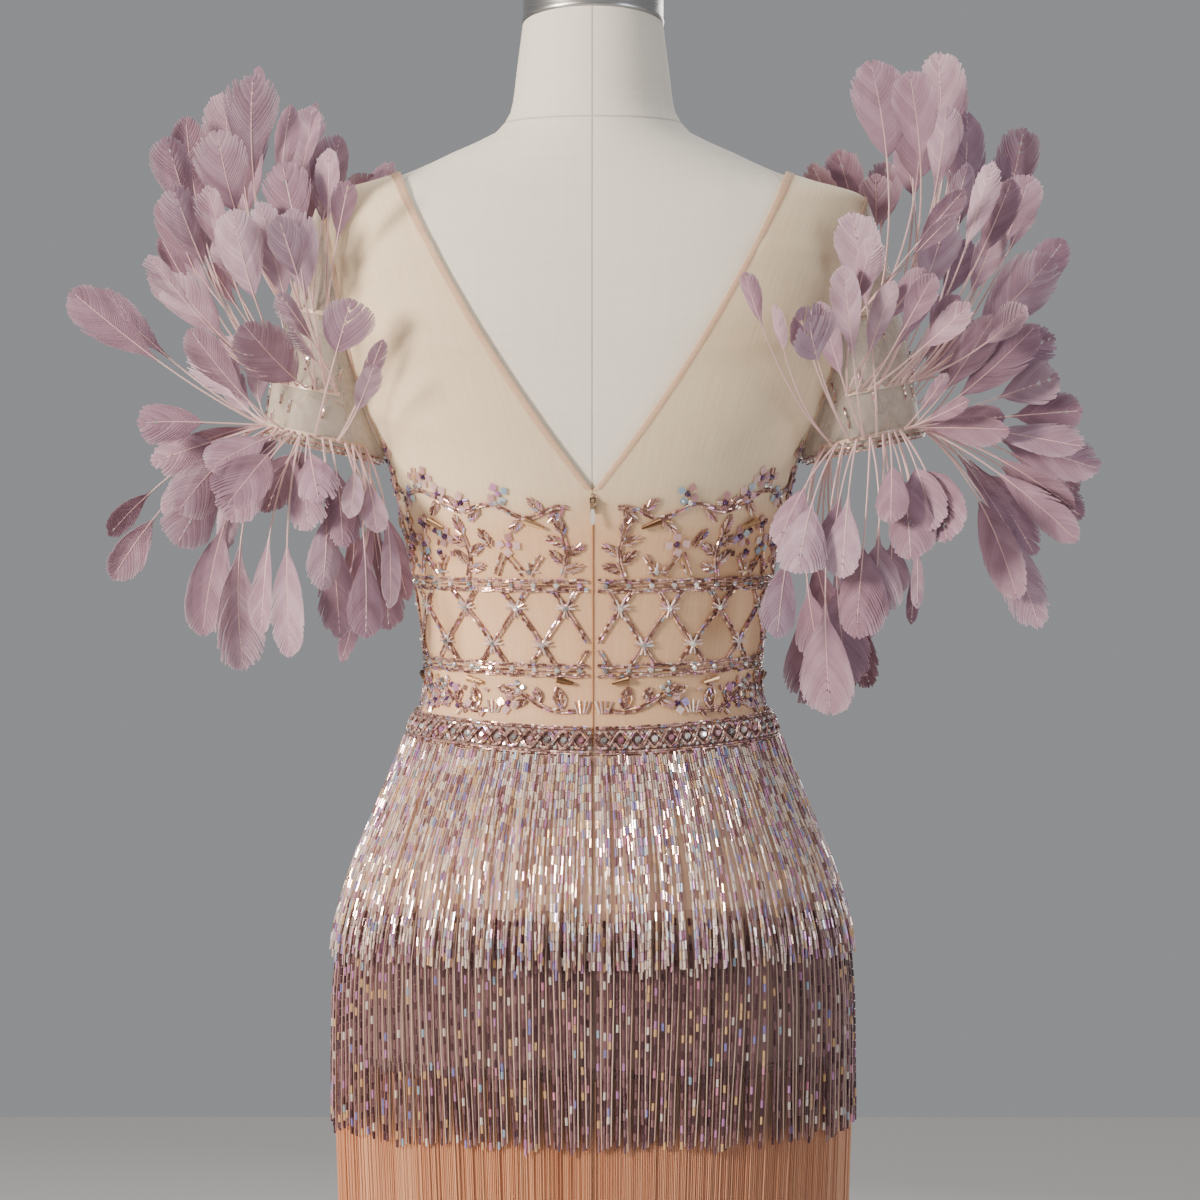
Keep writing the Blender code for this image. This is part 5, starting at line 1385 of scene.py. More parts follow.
BARB_STEP = 0.0018       # round the edge of the blade from one barb's tip to the next
BARB_LEAN = 1.45         # how far up the shaft a barb reaches, for each metre it reaches sideways
BARB_THICK = 0.00020
BARB_STATIONS = np.array((0.0, 0.30, 0.66, 1.0))
BARB_COVERS = np.array((1.1, 1.25, 1.20, 0.85))
SHAFT_SIDES = 5
SHAFT_RINGS = 12
OUTLINE_WIDER = 1.16     # the soft outline over the solid's
OUTLINE_SHARES = np.array((0.0, 0.12, 0.30, 0.50, 0.66, 0.82, 0.93, 1.0))
OUTLINE_WIDTHS = np.array((0.03, 0.20, 0.60, 0.90, 1.0, 0.90, 0.62, 0.10))
OUTLINE_SLOPES = curve_slopes(OUTLINE_SHARES, OUTLINE_WIDTHS)
MATE_TRIES = 6
FRONT_OF_SLEEVE = -0.3   # turns below this are in front of the shoulder


def outline_half(feather, share, fullness):
    """Half the width of a blade, on a smooth curve through its outline. Above 1 it is fuller near the tip."""
    share = np.clip(share, 0, 1)**fullness
    return OUTLINE_WIDER * feather.width / 2 * on_curve(OUTLINE_SHARES, OUTLINE_WIDTHS, OUTLINE_SLOPES, share)


class FeatherShape:
    """The line of one feather's shaft, with its width and thickness directions at any share of the blade."""

    def __init__(self, path, reach, feather, roll, curl):
        self.path = path
        self.feather = feather
        self.curl = curl
        self.blade_start = 1 - feather.blade / reach
        frames = [feather_frame(path, index, roll) for index in range(len(path))]
        self.heading, self.wide, self.thick = (np.array(rows) for rows in zip(*frames))
        self.places = np.linspace(0, 1, len(path))

    def at(self, t, rows):
        t = np.clip(t, 0, 1)
        return np.stack([np.interp(t, self.places, rows[:, axis]) for axis in range(3)], axis=-1)

    def along_blade(self, share):
        return self.blade_start + (1 - self.blade_start) * share

    def droop(self, share):
        return self.curl * 0.40 * self.feather.width * np.clip(share - 0.4, 0, 1)**2

    def surface(self, share, across):
        """A point on the blade: its share along the blade and how far across, cupped by its curl."""
        t = self.along_blade(share)
        beyond = np.maximum(share - 1, 0)[..., None] * self.feather.blade
        half = self.feather.width / 2
        cup = self.curl * 0.42 * across**2 / half + 0.0008 * np.sin(share * 7 + self.curl * 5) * across / half
        return (self.at(t, self.path) + self.heading[-1] * beyond + self.at(t, self.wide) * across[..., None]
                + self.at(t, self.thick) * (cup + self.droop(share))[..., None])


def barbs_of(shape, side, fullness, frayed, chance):
    """The barbs on one side of a blade: ring corners, and how light and how near the edge each corner is."""
    feather = shape.feather
    count = int(feather.blade * 1.05 / BARB_STEP)
    spread = np.linspace(0, 1, count)
    tips = 0.06 + 0.945 * (1 - (1 - spread)**1.35)
    shift = np.zeros(count)
    for _ in range(chance.choice((0, 1, 1, 2, 3))):
        split = chance.uniform(0.35, 0.97)
        shift += np.sign(tips - split) * chance.uniform(0.006, 0.030) * np.exp(-np.abs(tips - split) / 0.05)
    ragged = np.array([chance.uniform(0, 1)**3 for _ in tips]) * (0.07 + frayed * np.clip(tips - 0.5, 0, 1))
    full = outline_half(feather, tips, fullness) * chance.uniform(0.84, 1.12)
    roots = np.maximum.accumulate(np.clip(tips - BARB_LEAN * full / feather.blade, 0, 0.985))
    reach = full * (1 - ragged)
    stations = BARB_STATIONS[None, :]
    share = roots[:, None] + ((tips - roots) * (1 - ragged))[:, None] * stations**1.12
    across = side * reach[:, None] * (0.55 * np.sin(stations * QUARTER) + 0.45 * stations)
    middle = shape.surface(share, across)
    along = np.gradient(middle, axis=1)
    along /= np.linalg.norm(along, axis=-1, keepdims=True)
    thick = shape.at(shape.along_blade(share), shape.thick)
    sideways = np.cross(thick, along)
    apart = np.abs(np.sum(np.gradient(middle, axis=0) * sideways, axis=-1, keepdims=True))
    half = np.clip(apart, 0.0003, 0.004) * 0.5 * BARB_COVERS[None, :, None]
    middle = middle + shape.heading[-1] * (shift[:, None] * stations**2)[..., None] * feather.blade
    rise = thick * BARB_THICK * 0.5
    corners = np.stack([middle + sideways * half + rise, middle - sideways * half, middle - rise], axis=2)
    tones = np.array([chance.gauss(0, 0.035) for _ in tips])[:, None] + 0.26 * stations**5
    tones = tones - 0.10 * np.exp(-roots[:, None] * 14) + 0.05 * np.sin(roots * 19 + side)[:, None]
    edges = np.repeat(stations**4, count, axis=0)
    return corners, np.repeat(tones[..., None], 3, axis=2), np.repeat(edges[..., None], 3, axis=2)


def prism_faces(count, rings, sides, first):
    """Faces of many closed prisms, each of some rings, whose points are listed one prism after another."""
    one = stacked_faces(rings, sides)
    return [tuple(start + corner for corner in face)
            for start in range(first, first + count * rings * sides, rings * sides) for face in one]


def shaft_of(shape):
    """The quill and shaft: a round tube that thins from its foot in the tape to the tip of the blade."""
    t = np.linspace(0, 0.975, SHAFT_RINGS)
    on_blade = np.clip((t - shape.blade_start) / (1 - shape.blade_start), 0, 1)
    centre = shape.at(t, shape.path) + shape.at(t, shape.thick) * (shape.droop(on_blade) + 0.0001)[:, None]
    taper = np.where(t < shape.blade_start, 1 - 0.35 * t / shape.blade_start, 0.66 - 0.34 * on_blade)
    turns = np.arange(SHAFT_SIDES) * 2 * math.pi / SHAFT_SIDES
    wide = shape.at(t, shape.wide)[:, None, :] * np.cos(turns)[None, :, None]
    thick = shape.at(t, shape.thick)[:, None, :] * np.sin(turns)[None, :, None]
    return centre[:, None, :] + (wide + thick) * (QUILL_HALF * taper)[:, None, None]


def tape_rings(band, own):
    """The tape that a row of feathers is sewn to, as rings of four corners round the sleeve."""
    first = min(entry[1] for entry in own) - 0.05
    last = max(entry[1] for entry in own) + 0.05
    low = CLOTH + 0.0006
    high = low + TAPE_THICK * 0.7
    return np.array([[sleeve_point(turn, sleeve_share(turn, band.from_cuff + band.height * up), lift)
                      for up, lift in ((0.1, low), (0.1, high), (0.9, high), (0.9, low))]
                     for turn in np.linspace(first, last, 64)])


def add_mates(settled, seed):
    """Most feathers have one more sewn in beside them where there is room, and those in front have three."""
    chance = random.Random(seed)
    taken = np.concatenate([feather_samples(path, reach, feather, roll)[0]
                            for feather, _, path, reach, roll, _ in settled])
    sleeve = sleeve_samples()
    sleeve_rooms = np.full(len(sleeve), SLEEVE_ROOM)
    mates = []
    for feather, turn, path, reach, roll, curl in settled:
        wanted = 3 if turn < FRONT_OF_SLEEVE else 1
        for _ in range(MATE_TRIES * wanted):
            swing = Vector([chance.gauss(0, 0.17) for _ in range(3)])
            scale = chance.uniform(0.78, 0.97)
            spin = np.array(Matrix.Rotation(swing.length, 3, swing))
            bent = path[0] + (path - path[0]) @ spin.T * scale
            width = feather.width * chance.uniform(0.8, 1.05)
            mate = feather._replace(blade=feather.blade * scale, width=width)
            new_roll = roll + chance.uniform(-0.6, 0.6)
            points, rooms = feather_samples(bent, reach * scale, mate, new_roll)
            if (outside_body(points[3:], BODY_ROOM) and clear_of(points[3:], rooms[3:], sleeve, sleeve_rooms)
                    and clear_of(points[4:], rooms[4:] * 0.35, taken, np.full(len(taken), 0.0012))):
                mates.append((mate, turn, bent, reach * scale, new_roll, curl * chance.uniform(0.4, 1.4)))
                taken = np.concatenate([taken, points])
                wanted -= 1
            if not wanted:
                break
    return settled + mates


def build_feather_finish():
    """Matt barbs that are lighter and thinner at their edges; the quill is pale and has a faint gloss."""
    finish, tree, shader = new_finish("stripped feather", sheen_weight=0.25, sheen_roughness=0.35,
                                      specular_ior_level=0.35)
    tone, edge, shaft = (attribute(tree, name) for name in ("tone", "edge", "shaft"))
    where = tree.nodes.new("ShaderNodeTexCoord").outputs["Object"]
    tone = sums(tree, 'ADD', tone, scaled(tree, cloudy(tree, where, 55.0, 3.0), 0.4, -0.2))
    hues = tree.nodes.new("ShaderNodeValToRGB")
    ramp = hues.color_ramp.elements
    ramp[0].position, ramp[0].color = 0.0, (0.140, 0.066, 0.095, 1)
    ramp[1].position, ramp[1].color = 1.0, (0.620, 0.450, 0.525, 1)
    ramp.new(0.5).color = (0.340, 0.200, 0.262, 1)
    tree.links.new(tone, hues.inputs[0])
    colour = between(tree, shaft, hues.outputs[0], (0.66, 0.43, 0.42, 1))
    taped = sums(tree, 'GREATER_THAN', shaft, 1.5)
    colour = between(tree, taped, colour, (0.62, 0.46, 0.36, 1))
    tree.links.new(colour, shader.inputs["Base Color"])
    tree.links.new(scaled(tree, shaft, -0.2, 0.62), shader.inputs["Roughness"])
    tree.links.new(scaled(tree, edge, -0.30, 1.0), shader.inputs["Alpha"])
    return finish


feather_finish = build_feather_finish()


def build_feather_row(name, band_name, feathers, mirror, seed):
    """One tape round the sleeve with its feathers, as one mesh."""
    chance = random.Random(seed)
    own = [entry for entry in feathers if entry[0].band == band_name]
    rings = tape_rings(BANDS[band_name], own)
    parts = [(rings.reshape(-1, 3), 0.75, 0.0, 2.0)]
    faces = prism_faces(1, len(rings), 4, 0)
    first = rings.size // 3
    for feather, _, path, reach, roll, curl in own:
        shape = FeatherShape(path, reach, feather, roll, curl)
        base = chance.uniform(0.26, 0.68)
        fullness = chance.uniform(0.85, 1.5)
        frayed = chance.choice((0.0, 0.0, 0.0, 0.15, 0.30))
        tube = shaft_of(shape).reshape(-1, 3)
        parts.append((tube, base, 0.0, 1.0))
        faces += prism_faces(1, SHAFT_RINGS, SHAFT_SIDES, first)
        first += len(tube)
        for side in (1, -1):
            corners, tone, edge = barbs_of(shape, side, fullness, frayed, chance)
            parts.append((corners.reshape(-1, 3), tone.ravel() + base, edge.ravel(), 0.0))
            faces += prism_faces(len(corners), len(BARB_STATIONS), 3, first)
            first += corners.size // 3
    points = np.concatenate([part[0] for part in parts]) * (mirror, 1, 1)
    made = make_piece(name, points, faces, feather_finish, smooth=False)
    for number, attribute in ((1, "tone"), (2, "edge"), (3, "shaft")):
        values = [np.broadcast_to(part[number], len(part[0])) for part in parts]
        layer = made.data.attributes.new(attribute, 'FLOAT', 'POINT')
        layer.data.foreach_set("value", np.concatenate(values).astype(np.float32))
    facing = bmesh.new()
    facing.from_mesh(made.data)
    bmesh.ops.recalc_face_normals(facing, faces=facing.faces)
    facing.to_mesh(made.data)
    facing.free()
    return made


for seed, (table, mirror, word) in enumerate(((LEFT_FEATHERS, 1, "left"), (RIGHT_FEATHERS, -1, "right"))):
    feathers = add_mates(settle_feathers(table), seed)
    for band_name in BANDS:
        row = build_feather_row(f"feathers_{band_name}_{word}", band_name, feathers, mirror, seed + 3)
        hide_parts(f"feather_row_{band_name}_{word}")
        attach(row, "dress")


# The beaded cuffs
# Two rows of rose-gold beads edge each cuff, with crystals between them, and small upright sprigs of beads
# are sewn on the organza above.

CUFF_BEADS = 0.0017
SPRIG_SEED = 8
ONE_BEAD = 0.02          # longer than any line that carries one bead

rose_beads = bead_finish("rose gold beads", (0.20, 0.085, 0.075, 1), (0.78, 0.50, 0.42, 1), 0.14,
                         roughness=0.22, metallic=0.55, coat_weight=0.4)
crystal_finish = bead_finish("clear crystals", (0.30, 0.30, 0.30, 1), (1.0, 0.99, 0.97, 1), 0.06,
                             roughness=0.04, metallic=0.60, coat_weight=1.0)
def sleeve_post(turn, share, lift, length, mirror):
    """A short line that stands on the sleeve, for a stone."""
    return [sleeve_point(turn, share, at) * (mirror, 1, 1) for at in (lift, lift + length)]


for word, mirror in (("left", 1), ("right", -1)):
    chance = random.Random(SPRIG_SEED + mirror)
    lines = []
    posts = []
    for from_cuff in (0.0008, 0.0044):
        lines.append([sleeve_point(turn, sleeve_share(turn, from_cuff), CLOTH + 0.0016) * (mirror, 1, 1)
                      for turn in np.linspace(-math.pi, math.pi, 181)])
    for step in range(58):
        turn = -math.pi + 2 * math.pi * step / 58
        posts.append(sleeve_post(turn, sleeve_share(turn, 0.0026), CLOTH + 0.0016, 0.0013, mirror))
    for step in range(26):
        turn = math.radians(-150 + 300 * (step + chance.uniform(-0.3, 0.3)) / 25)
        foot = chance.uniform(0.012, 0.085)
        for k in range(chance.choice((1, 2))):
            low = foot + 0.009 * k
            lines.append([sleeve_point(turn + 0.012 * k, sleeve_share(turn, low + up), CLOTH + 0.0014)
                          * (mirror, 1, 1) for up in (0.0, 0.0035, 0.007)])
        posts.append(sleeve_post(turn, sleeve_share(turn, foot + 0.0085), CLOTH + 0.0010, 0.0012, mirror))
    cuff_beads = beads(f"cuff_beads_{word}", lines, rose_beads, CUFF_BEADS, 0.00075, sides=5)
    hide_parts(f"cuff_trim_{word}")
    cuff_crystals = beads(f"cuff_crystals_{word}", posts, crystal_finish, ONE_BEAD, 0.00125, sides=8,
                          end_radius=0.0007, gap=0.0)


# The jewelled waist band
# Two cords of beads cross and re-cross round the waist, with a crystal in each eye and a row of beads above
# and below. It is sewn on a narrow ribbon and breaks at the zip.

BAND_HEIGHT = 0.020
BAND_WAVE = 0.0235       # length of one loop of the cords
BAND_SWAY = 0.0062
BAND_LIFT = 0.0066


def run_along(angles, height):
    """How far along the body each angle is from the first."""
    steps = np.linalg.norm(np.diff(bare_point(angles, height), axis=0), axis=1)
    return np.concatenate([[0.0], np.cumsum(steps)])


ribbon_finish = build_doubled_tulle("band ribbon", (0.25, 0.13, 0.12, 1), (0.40, 0.24, 0.22, 1))
ribbon_angles = round_from_zip(241, ZIP_OPENING)
ribbon_heights = band_low(ribbon_angles)[None, :] + BAND_HEIGHT * np.array((0.02, 0.5, 0.98))[:, None]
ribbon_grid = np.tile(ribbon_angles, (3, 1))
ribbon = body_strip("waist_ribbon", ribbon_grid, ribbon_heights, 0.0048, 0.0056, ribbon_finish)
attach(ribbon, "dress")

band_angles = round_from_zip(1400, ZIP_OPENING * 2.2)
band_run = run_along(band_angles, 1.0)
band_middle = band_low(band_angles) + BAND_HEIGHT / 2
loops = round(band_run[-1] / BAND_WAVE)
band_phase = band_run / band_run[-1] * loops * 2 * math.pi
band_lines = []
for strand, shift in ((1, 0.0), (-1, 0.0), (1, 0.45), (-1, 0.45)):
    sway = strand * BAND_SWAY * np.sin(band_phase + shift)
    over = 0.0007 * strand * np.cos(band_phase + shift)
    band_lines.append(body_point(band_angles, band_middle + sway, BAND_LIFT + 0.0006 + over))
for off in (-0.0094, -0.0080, 0.0080, 0.0094):
    band_lines.append(body_point(band_angles, band_middle + off, BAND_LIFT))
band_beads = beads("waist_band_beads", band_lines, rose_beads, 0.0023, 0.00072, sides=5)
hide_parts("waist_band")

def body_post(angle, height, lift, length):
    """A short line that stands on the body, for a stone."""
    return [body_point(angle, height, lift), body_point(angle, height, lift + length)]


band_posts = []
small_posts = []
pink_posts = []
for loop in range(loops * 2):
    phase = math.pi * (loop + 0.5)
    angle, near = (float(np.interp(at, band_phase, band_angles)) for at in (phase, phase + QUARTER))
    middle = band_low(angle) + BAND_HEIGHT / 2
    kind = pink_posts if loop % 3 == 1 else band_posts
    kind.append(body_post(angle, middle, BAND_LIFT - 0.0002, 0.0024))
    for off in (-0.0052, 0.0052):
        small_posts.append(body_post(near, middle + off, BAND_LIFT - 0.0002, 0.0016))
pink_finish = bead_finish("pink crystals", (0.50, 0.20, 0.30, 1), (0.86, 0.52, 0.60, 1), 0.1, roughness=0.06,
                          metallic=0.6, coat_weight=1.0)
for name, posts, finish, radius in (("waist_band_crystals", band_posts, crystal_finish, 0.0028),
                                    ("waist_band_pink_crystals", pink_posts, pink_finish, 0.0026),
                                    ("waist_band_small_crystals", small_posts, crystal_finish, 0.0016)):
    stones = beads(name, posts, finish, ONE_BEAD, radius, 8, radius * 0.55, gap=0.0, tilt=0.12)


# The embroidery
# Lines of beads, bugles and stones are sewn on the tulle from the waist to the bottom of the V: two straight
# rows with a lattice between them, leaves under them, and sprigs, vines and flowers above. The motifs are
# common ones, laid out in sectors that repeat from the zip round to the front.

ROW_HIGH = 1.1134
ROW_LOW = 1.0551
ROW_HALF = 0.0041        # from a row's middle to each of its two lines
CRYSTAL_STEP = 0.0162
SEED_LENGTH = 0.0027
SEED_RADIUS = 0.00080
BUGLE_HALF = 0.00074
SEWN_LIFT = 0.0042
SECTORS = 5              # on each side, from the zip to the middle of the front
CELLS = 9                # of the lattice, on each side
ZIP_CLEAR = 0.036        # turn from the zip to where the rows start
EMBROIDERY_SEED = 4
ROUND = 0.11             # roughly the body's half width, for turning metres into an angle

seed_lines = []
bugle_lines = []
pale_bugle_lines = []
crystal_posts = []
stone_posts = []
pink_squares = []
blue_squares = []
cones = []


def row_dip(height):
    """The rows sink a little at the middle of the back, more near the waist."""
    return 0.045 * (ROW_HIGH + 0.03 - height)


def compass(direction):
    """Steps ahead and aside, each across and up, for a direction in radians from the upright."""
    ahead = np.array((math.sin(direction), math.cos(direction)))
    return ahead, np.array((ahead[1], -ahead[0]))


class Spot:
    """A place on the cloth. Motifs are drawn from it in metres, across from the zip and up."""

    def __init__(self, angle, height, side=1):
        self.angle = angle
        self.height = height
        self.side = side
        beside = bare_point(angle + 0.01, height) - bare_point(angle - 0.01, height)
        self.turn_length = float(np.linalg.norm(beside)) / 0.02

    def point(self, across, up, lift=SEWN_LIFT):
        angle = self.angle + self.side * np.asarray(across, dtype=float) / self.turn_length
        return body_point(angle, self.height + np.asarray(up, dtype=float), lift)

    def post(self, across, up, length, lift=SEWN_LIFT - 0.0006):
        """A short line that stands on the cloth, for a stone."""
        return [self.point(across, up, lift), self.point(across, up, lift + length)]

    def bar(self, foot, direction, length, lift=SEWN_LIFT):
        """A short line on the cloth, in a direction in radians from the upright."""
        return self.point(*np.stack([foot, foot + length * compass(direction)[0]], axis=1), lift)


def fan_leaf(spot, at, direction, length=0.0150):
    """A leaf of bugles: pairs that lean out from a middle line, like the grains of an ear."""
    ahead, aside = compass(direction)
    for pair in range(5):
        share = pair / 5
        for side in (-1, 1):
            foot = at + ahead * length * 0.68 * share + aside * side * 0.0009
            lean = side * (0.62 - 0.09 * pair)
            bugle_lines.append(spot.bar(foot, direction + lean, length * (0.36 - 0.10 * abs(share - 0.35))))
    bugle_lines.append(spot.bar(at + ahead * length * 0.66, direction, length * 0.32))


def outlined_leaf(spot, at, direction, length=0.0170, width=0.0084):
    """A leaf with an outline of beads, filled with leaning bugles."""
    ahead, aside = compass(direction)
    t = np.linspace(0, 1, 13)[:, None]
    for side in (-1, 1):
        bulge = side * width / 2 * np.sin(math.pi * t**0.85)
        seed_lines.append(spot.point(*(at + length * t * ahead + bulge * aside).T))
        for share in (0.10, 0.28, 0.46, 0.64):
            bugle_lines.append(spot.bar(at + length * share * ahead, direction + side * 0.5, width * 0.42))


def flower(spot, at, size, chance):
    """A dark stone with four petals, of square sequins or of short rows of bugles."""
    stone_posts.append(spot.post(*at, 0.0022))
    kind = chance.choice(("squares", "bugles", "both"))
    turn = chance.uniform(0, QUARTER)
    for petal in range(4):
        direction = turn + petal * QUARTER
        ahead, aside = compass(direction)
        if kind == "squares" or (kind == "both" and petal % 2 == 0):
            squares = blue_squares if chance.random() < 0.25 else pink_squares
            squares.append(spot.post(*(at + ahead * size * 1.25), 0.0006, SEWN_LIFT))
        else:
            for off in (-0.0015, 0.0, 0.0015):
                bugle_lines.append(spot.bar(at + ahead * 0.0024 + aside * off, direction, size))


def double_line(spot, across, up, half=0.0010):
    """Two parallel lines of beads along a curve, and the curve's heading at each of its points."""
    slope_across = np.gradient(across)
    slope_up = np.gradient(up)
    length = np.hypot(slope_across, slope_up)
    for off in (-half, half):
        seed_lines.append(spot.point(across + off * slope_up / length, up - off * slope_across / length))
    return np.arctan2(slope_across, slope_up)


def rays(spot, at, out, directions, length, lift=SEWN_LIFT):
    """Pale bugles that start a little way out from a place and point away from it."""
    for direction in directions:
        pale_bugle_lines.append(spot.bar(at + out * compass(direction)[0], direction, length, lift))


def sprig(spot, reach_up, bend, leaves):
    """An upright stem with fan leaves that alternate on its sides and one at its top."""
    t = np.linspace(0, 1, 14)
    across = bend * (0.6 * t + np.sin(math.pi * t))
    up = reach_up * t
    heading = double_line(spot, across, up)
    for leaf in range(leaves):
        index = int(2 + 11 * leaf / leaves)
        side = 1 if leaf % 2 else -1
        fan_leaf(spot, (across[index] + side * 0.0014, up[index]), heading[index] + side * 1.0, 0.0135)
    fan_leaf(spot, (across[-1], up[-1]), heading[-1])


def straight_row(height, side):
    """Two parallel lines of beads with crystals and bugles between them."""
    angles = np.linspace(QUARTER + side * ZIP_CLEAR, QUARTER + side * math.pi, 240)
    run = run_along(angles, height)
    dip = row_dip(height) * np.sin(angles)**2
    for off in (-ROW_HALF, ROW_HALF):
        wobble = 0.0005 * np.sin(angles * 41 + off * 900)
        for close in (0.0, 0.0015 if off < 0 else -0.0015):
            seed_lines.append(body_point(angles, height - dip + off + close + wobble, SEWN_LIFT))
    count = round(run[-1] / CRYSTAL_STEP)
    for number in range(count):
        angle = float(np.interp((number + 0.35) / count * run[-1], run, angles))
        spot = Spot(angle, height - row_dip(height) * math.sin(angle)**2, side)
        crystal_posts.append(spot.post(0.0, 0.0, 0.0018))
        for across in (0.0028, 0.0082):
            bugle_lines.append(spot.bar((across, 0.0), QUARTER, 0.0050))


def lattice(side):
    """Crossing double lines of beads between the two rows, with a crystal and a star where they cross."""
    low = ROW_LOW + ROW_HALF
    high = ROW_HIGH - ROW_HALF
    cell = math.pi / CELLS
    start = QUARTER - side * 0.060

    def place_of(away, share):
        angle = start + side * away
        return angle, low + (high - low) * share - row_dip(ROW_LOW) * np.sin(angle)**2 * (1 - share)

    for number in range(-1, CELLS + 1):
        for rising in (1, -1):
            t = np.linspace(0.02, 0.98, 22)
            angle, height = place_of(cell * (number + (0.0 if rising > 0 else 1.5) + rising * t), t)
            keep = (side * (angle - QUARTER) <= math.pi) & (side * (angle - QUARTER) >= ZIP_CLEAR)
            if keep.sum() < 4:
                continue
            for off in (-0.0125, 0.0125):
                seed_lines.append(body_point(angle[keep] + off, height[keep], SEWN_LIFT))
        for share in (0.25, 0.75):
            angle, height = place_of(cell * (number + share), share)
            if not ZIP_CLEAR + 0.03 < side * (angle - QUARTER) < math.pi:
                continue
            spot = Spot(angle, height, side)
            crystal_posts.append(spot.post(0.0, 0.0, 0.0024, SEWN_LIFT + 0.0004))
            rays(spot, (0.0, 0.0), 0.0018, (-1.57, -1.1, -0.45, 0.45, 1.1, 1.57, 2.9, 3.4), 0.0054,
                 SEWN_LIFT + 0.0008)


def vine(side, chance):
    """A wavy double line along the top of the embroidery, with leaves and flowers beside it."""
    away = np.linspace(0.16, math.pi - 0.02, 260)
    top = 1.1640 + 0.028 * np.clip((away - 0.5) / 1.0, 0, 1)**1.5 - 0.004 * np.cos(away * 15)
    for off in (-0.0010, 0.0010):
        seed_lines.append(body_point(QUARTER + side * away, top + off, SEWN_LIFT))
    for number in range(24):
        place_at = 0.20 + number * 0.125
        if place_at > math.pi - 0.06:
            break
        spot = Spot(QUARTER + side * place_at, float(np.interp(place_at, away, top)), side)
        way = 1 if number % 2 else -1
        if number % 4 == 3:
            flower(spot, (0.0, way * 0.0095), 0.0044, chance)
            crystal_posts.append(spot.post(0.0026, way * 0.0030, 0.0018))
            crystal_posts.append(spot.post(-0.0026, way * 0.0036, 0.0018))
        else:
            fan_leaf(spot, (0.0, way * 0.0014), 0.80 if way > 0 else math.pi - 0.80, 0.0140)


def scattered(side, chance):
    """Loose flowers that thicken towards the underarm, and sprinkled beads at the sides of the waist."""
    found = []
    for _ in range(150):
        away = chance.gauss(1.36, 0.36)
        height = 1.146 + chance.random()**1.2 * 0.072
        near = [other for other in found if math.hypot((other[0] - away) * ROUND, other[1] - height) < 0.0125]
        if near or not 0.80 < away < 2.1 or height > 1.172 + 0.048 * (1 - abs(away - 1.45) / 0.70):
            continue
        found.append((away, height))
        flower(Spot(QUARTER + side * away, height, side), (0.0, 0.0), 0.0040, chance)
    for _ in range(150):
        away = chance.gauss(1.50, 0.36)
        height = chance.uniform(1.019, 1.047) if chance.random() < 0.75 else chance.uniform(1.124, 1.150)
        if not 0.70 < away < 2.5:
            continue
        spot = Spot(QUARTER + side * away, height, side)
        direction = chance.uniform(0, math.pi)
        for off in (-0.0008, 0.0008):
            bugle_lines.append(spot.bar(off * compass(direction)[1], direction, 0.0040))
        kind = chance.random()
        if kind < 0.5:
            posts = stone_posts if kind < 0.16 else pink_squares if kind < 0.24 else crystal_posts
            posts.append(spot.post(0.0034, 0.0030, 0.0018))


def upper_sector(angle, side, chance):
    """Between the upper row and the vine: a sprig, a V of bars, a leaning bar, a flower and a cone bead."""
    foot = ROW_HIGH + ROW_HALF + 0.0012
    sprig(Spot(angle - side * 0.095, foot, side), 0.030, -0.0030, 4)
    spot = Spot(angle + side * 0.02, foot, side)
    for across, lean in ((0.011, -0.60), (0.0145, 0.60), (0.033, -0.40)):
        t = np.array((0.0, 0.5, 1.0))
        double_line(spot, across + 0.017 * t * math.sin(lean), 0.001 + 0.017 * t * math.cos(lean), 0.0016)
    crystal_posts.append(spot.post(0.0108, 0.0030, 0.0018))
    rays(spot, (0.0108, 0.0030), 0.0020, (-1.57, 0.0, 1.57), 0.0052)
    flower(spot, (0.0225, 0.0225), 0.0044, chance)
    cones.append(spot.bar((-0.0020, 0.0345), 1.15, 0.0130, SEWN_LIFT + 0.0014))
    fan_leaf(spot, (0.034, 0.021), 0.45)


def lower_sector(angle, side, chance):
    """Between the waist and the lower row: leaves on a curved stem, a fan of bugles and a cone bead."""
    base = Spot(angle - side * 0.215, 1.0170, side)
    t = np.linspace(0, 1, 14)
    across = 0.040 * t
    up = 0.006 + 0.012 * t - 0.006 * np.sin(math.pi * t)
    double_line(base, across, up)
    outlined_leaf(base, (across[4], up[4] + 0.0018), 0.25)
    outlined_leaf(base, (across[-1], up[-1]), 1.30)
    outlined_leaf(base, (across[9], up[9] + 0.0018), 0.30, 0.0120, 0.0066)
    fan_leaf(base, (across[-2], up[-2] - 0.0020), 2.2, 0.0110)
    for number, lean in enumerate((-0.36, -0.12, 0.12, 0.36)):
        pale_bugle_lines.append(base.bar((-0.0045 + 0.0019 * number, 0.0035), lean, 0.0100))
    spot = Spot(angle, 1.0170, side)
    for across_at, up_at in ((0.0200, 0.0225), (0.0245, 0.0255), (0.0235, 0.0200)):
        crystal_posts.append(spot.post(across_at, up_at, 0.0018))
    cones.append(spot.bar((-0.0165, 0.0255), 1.35, 0.0125, SEWN_LIFT + 0.0014))
    flower(spot, (0.0300, 0.0105), 0.0040, chance)


for side in (1, -1):
    chance = random.Random(EMBROIDERY_SEED)
    straight_row(ROW_HIGH, side)
    straight_row(ROW_LOW, side)
    lattice(side)
    vine(side, chance)
    scattered(side, chance)
    for number in range(SECTORS):
        centre = QUARTER + side * (number + 0.5) * math.pi / SECTORS
        upper_sector(centre, side, chance)
        lower_sector(centre, side, chance)

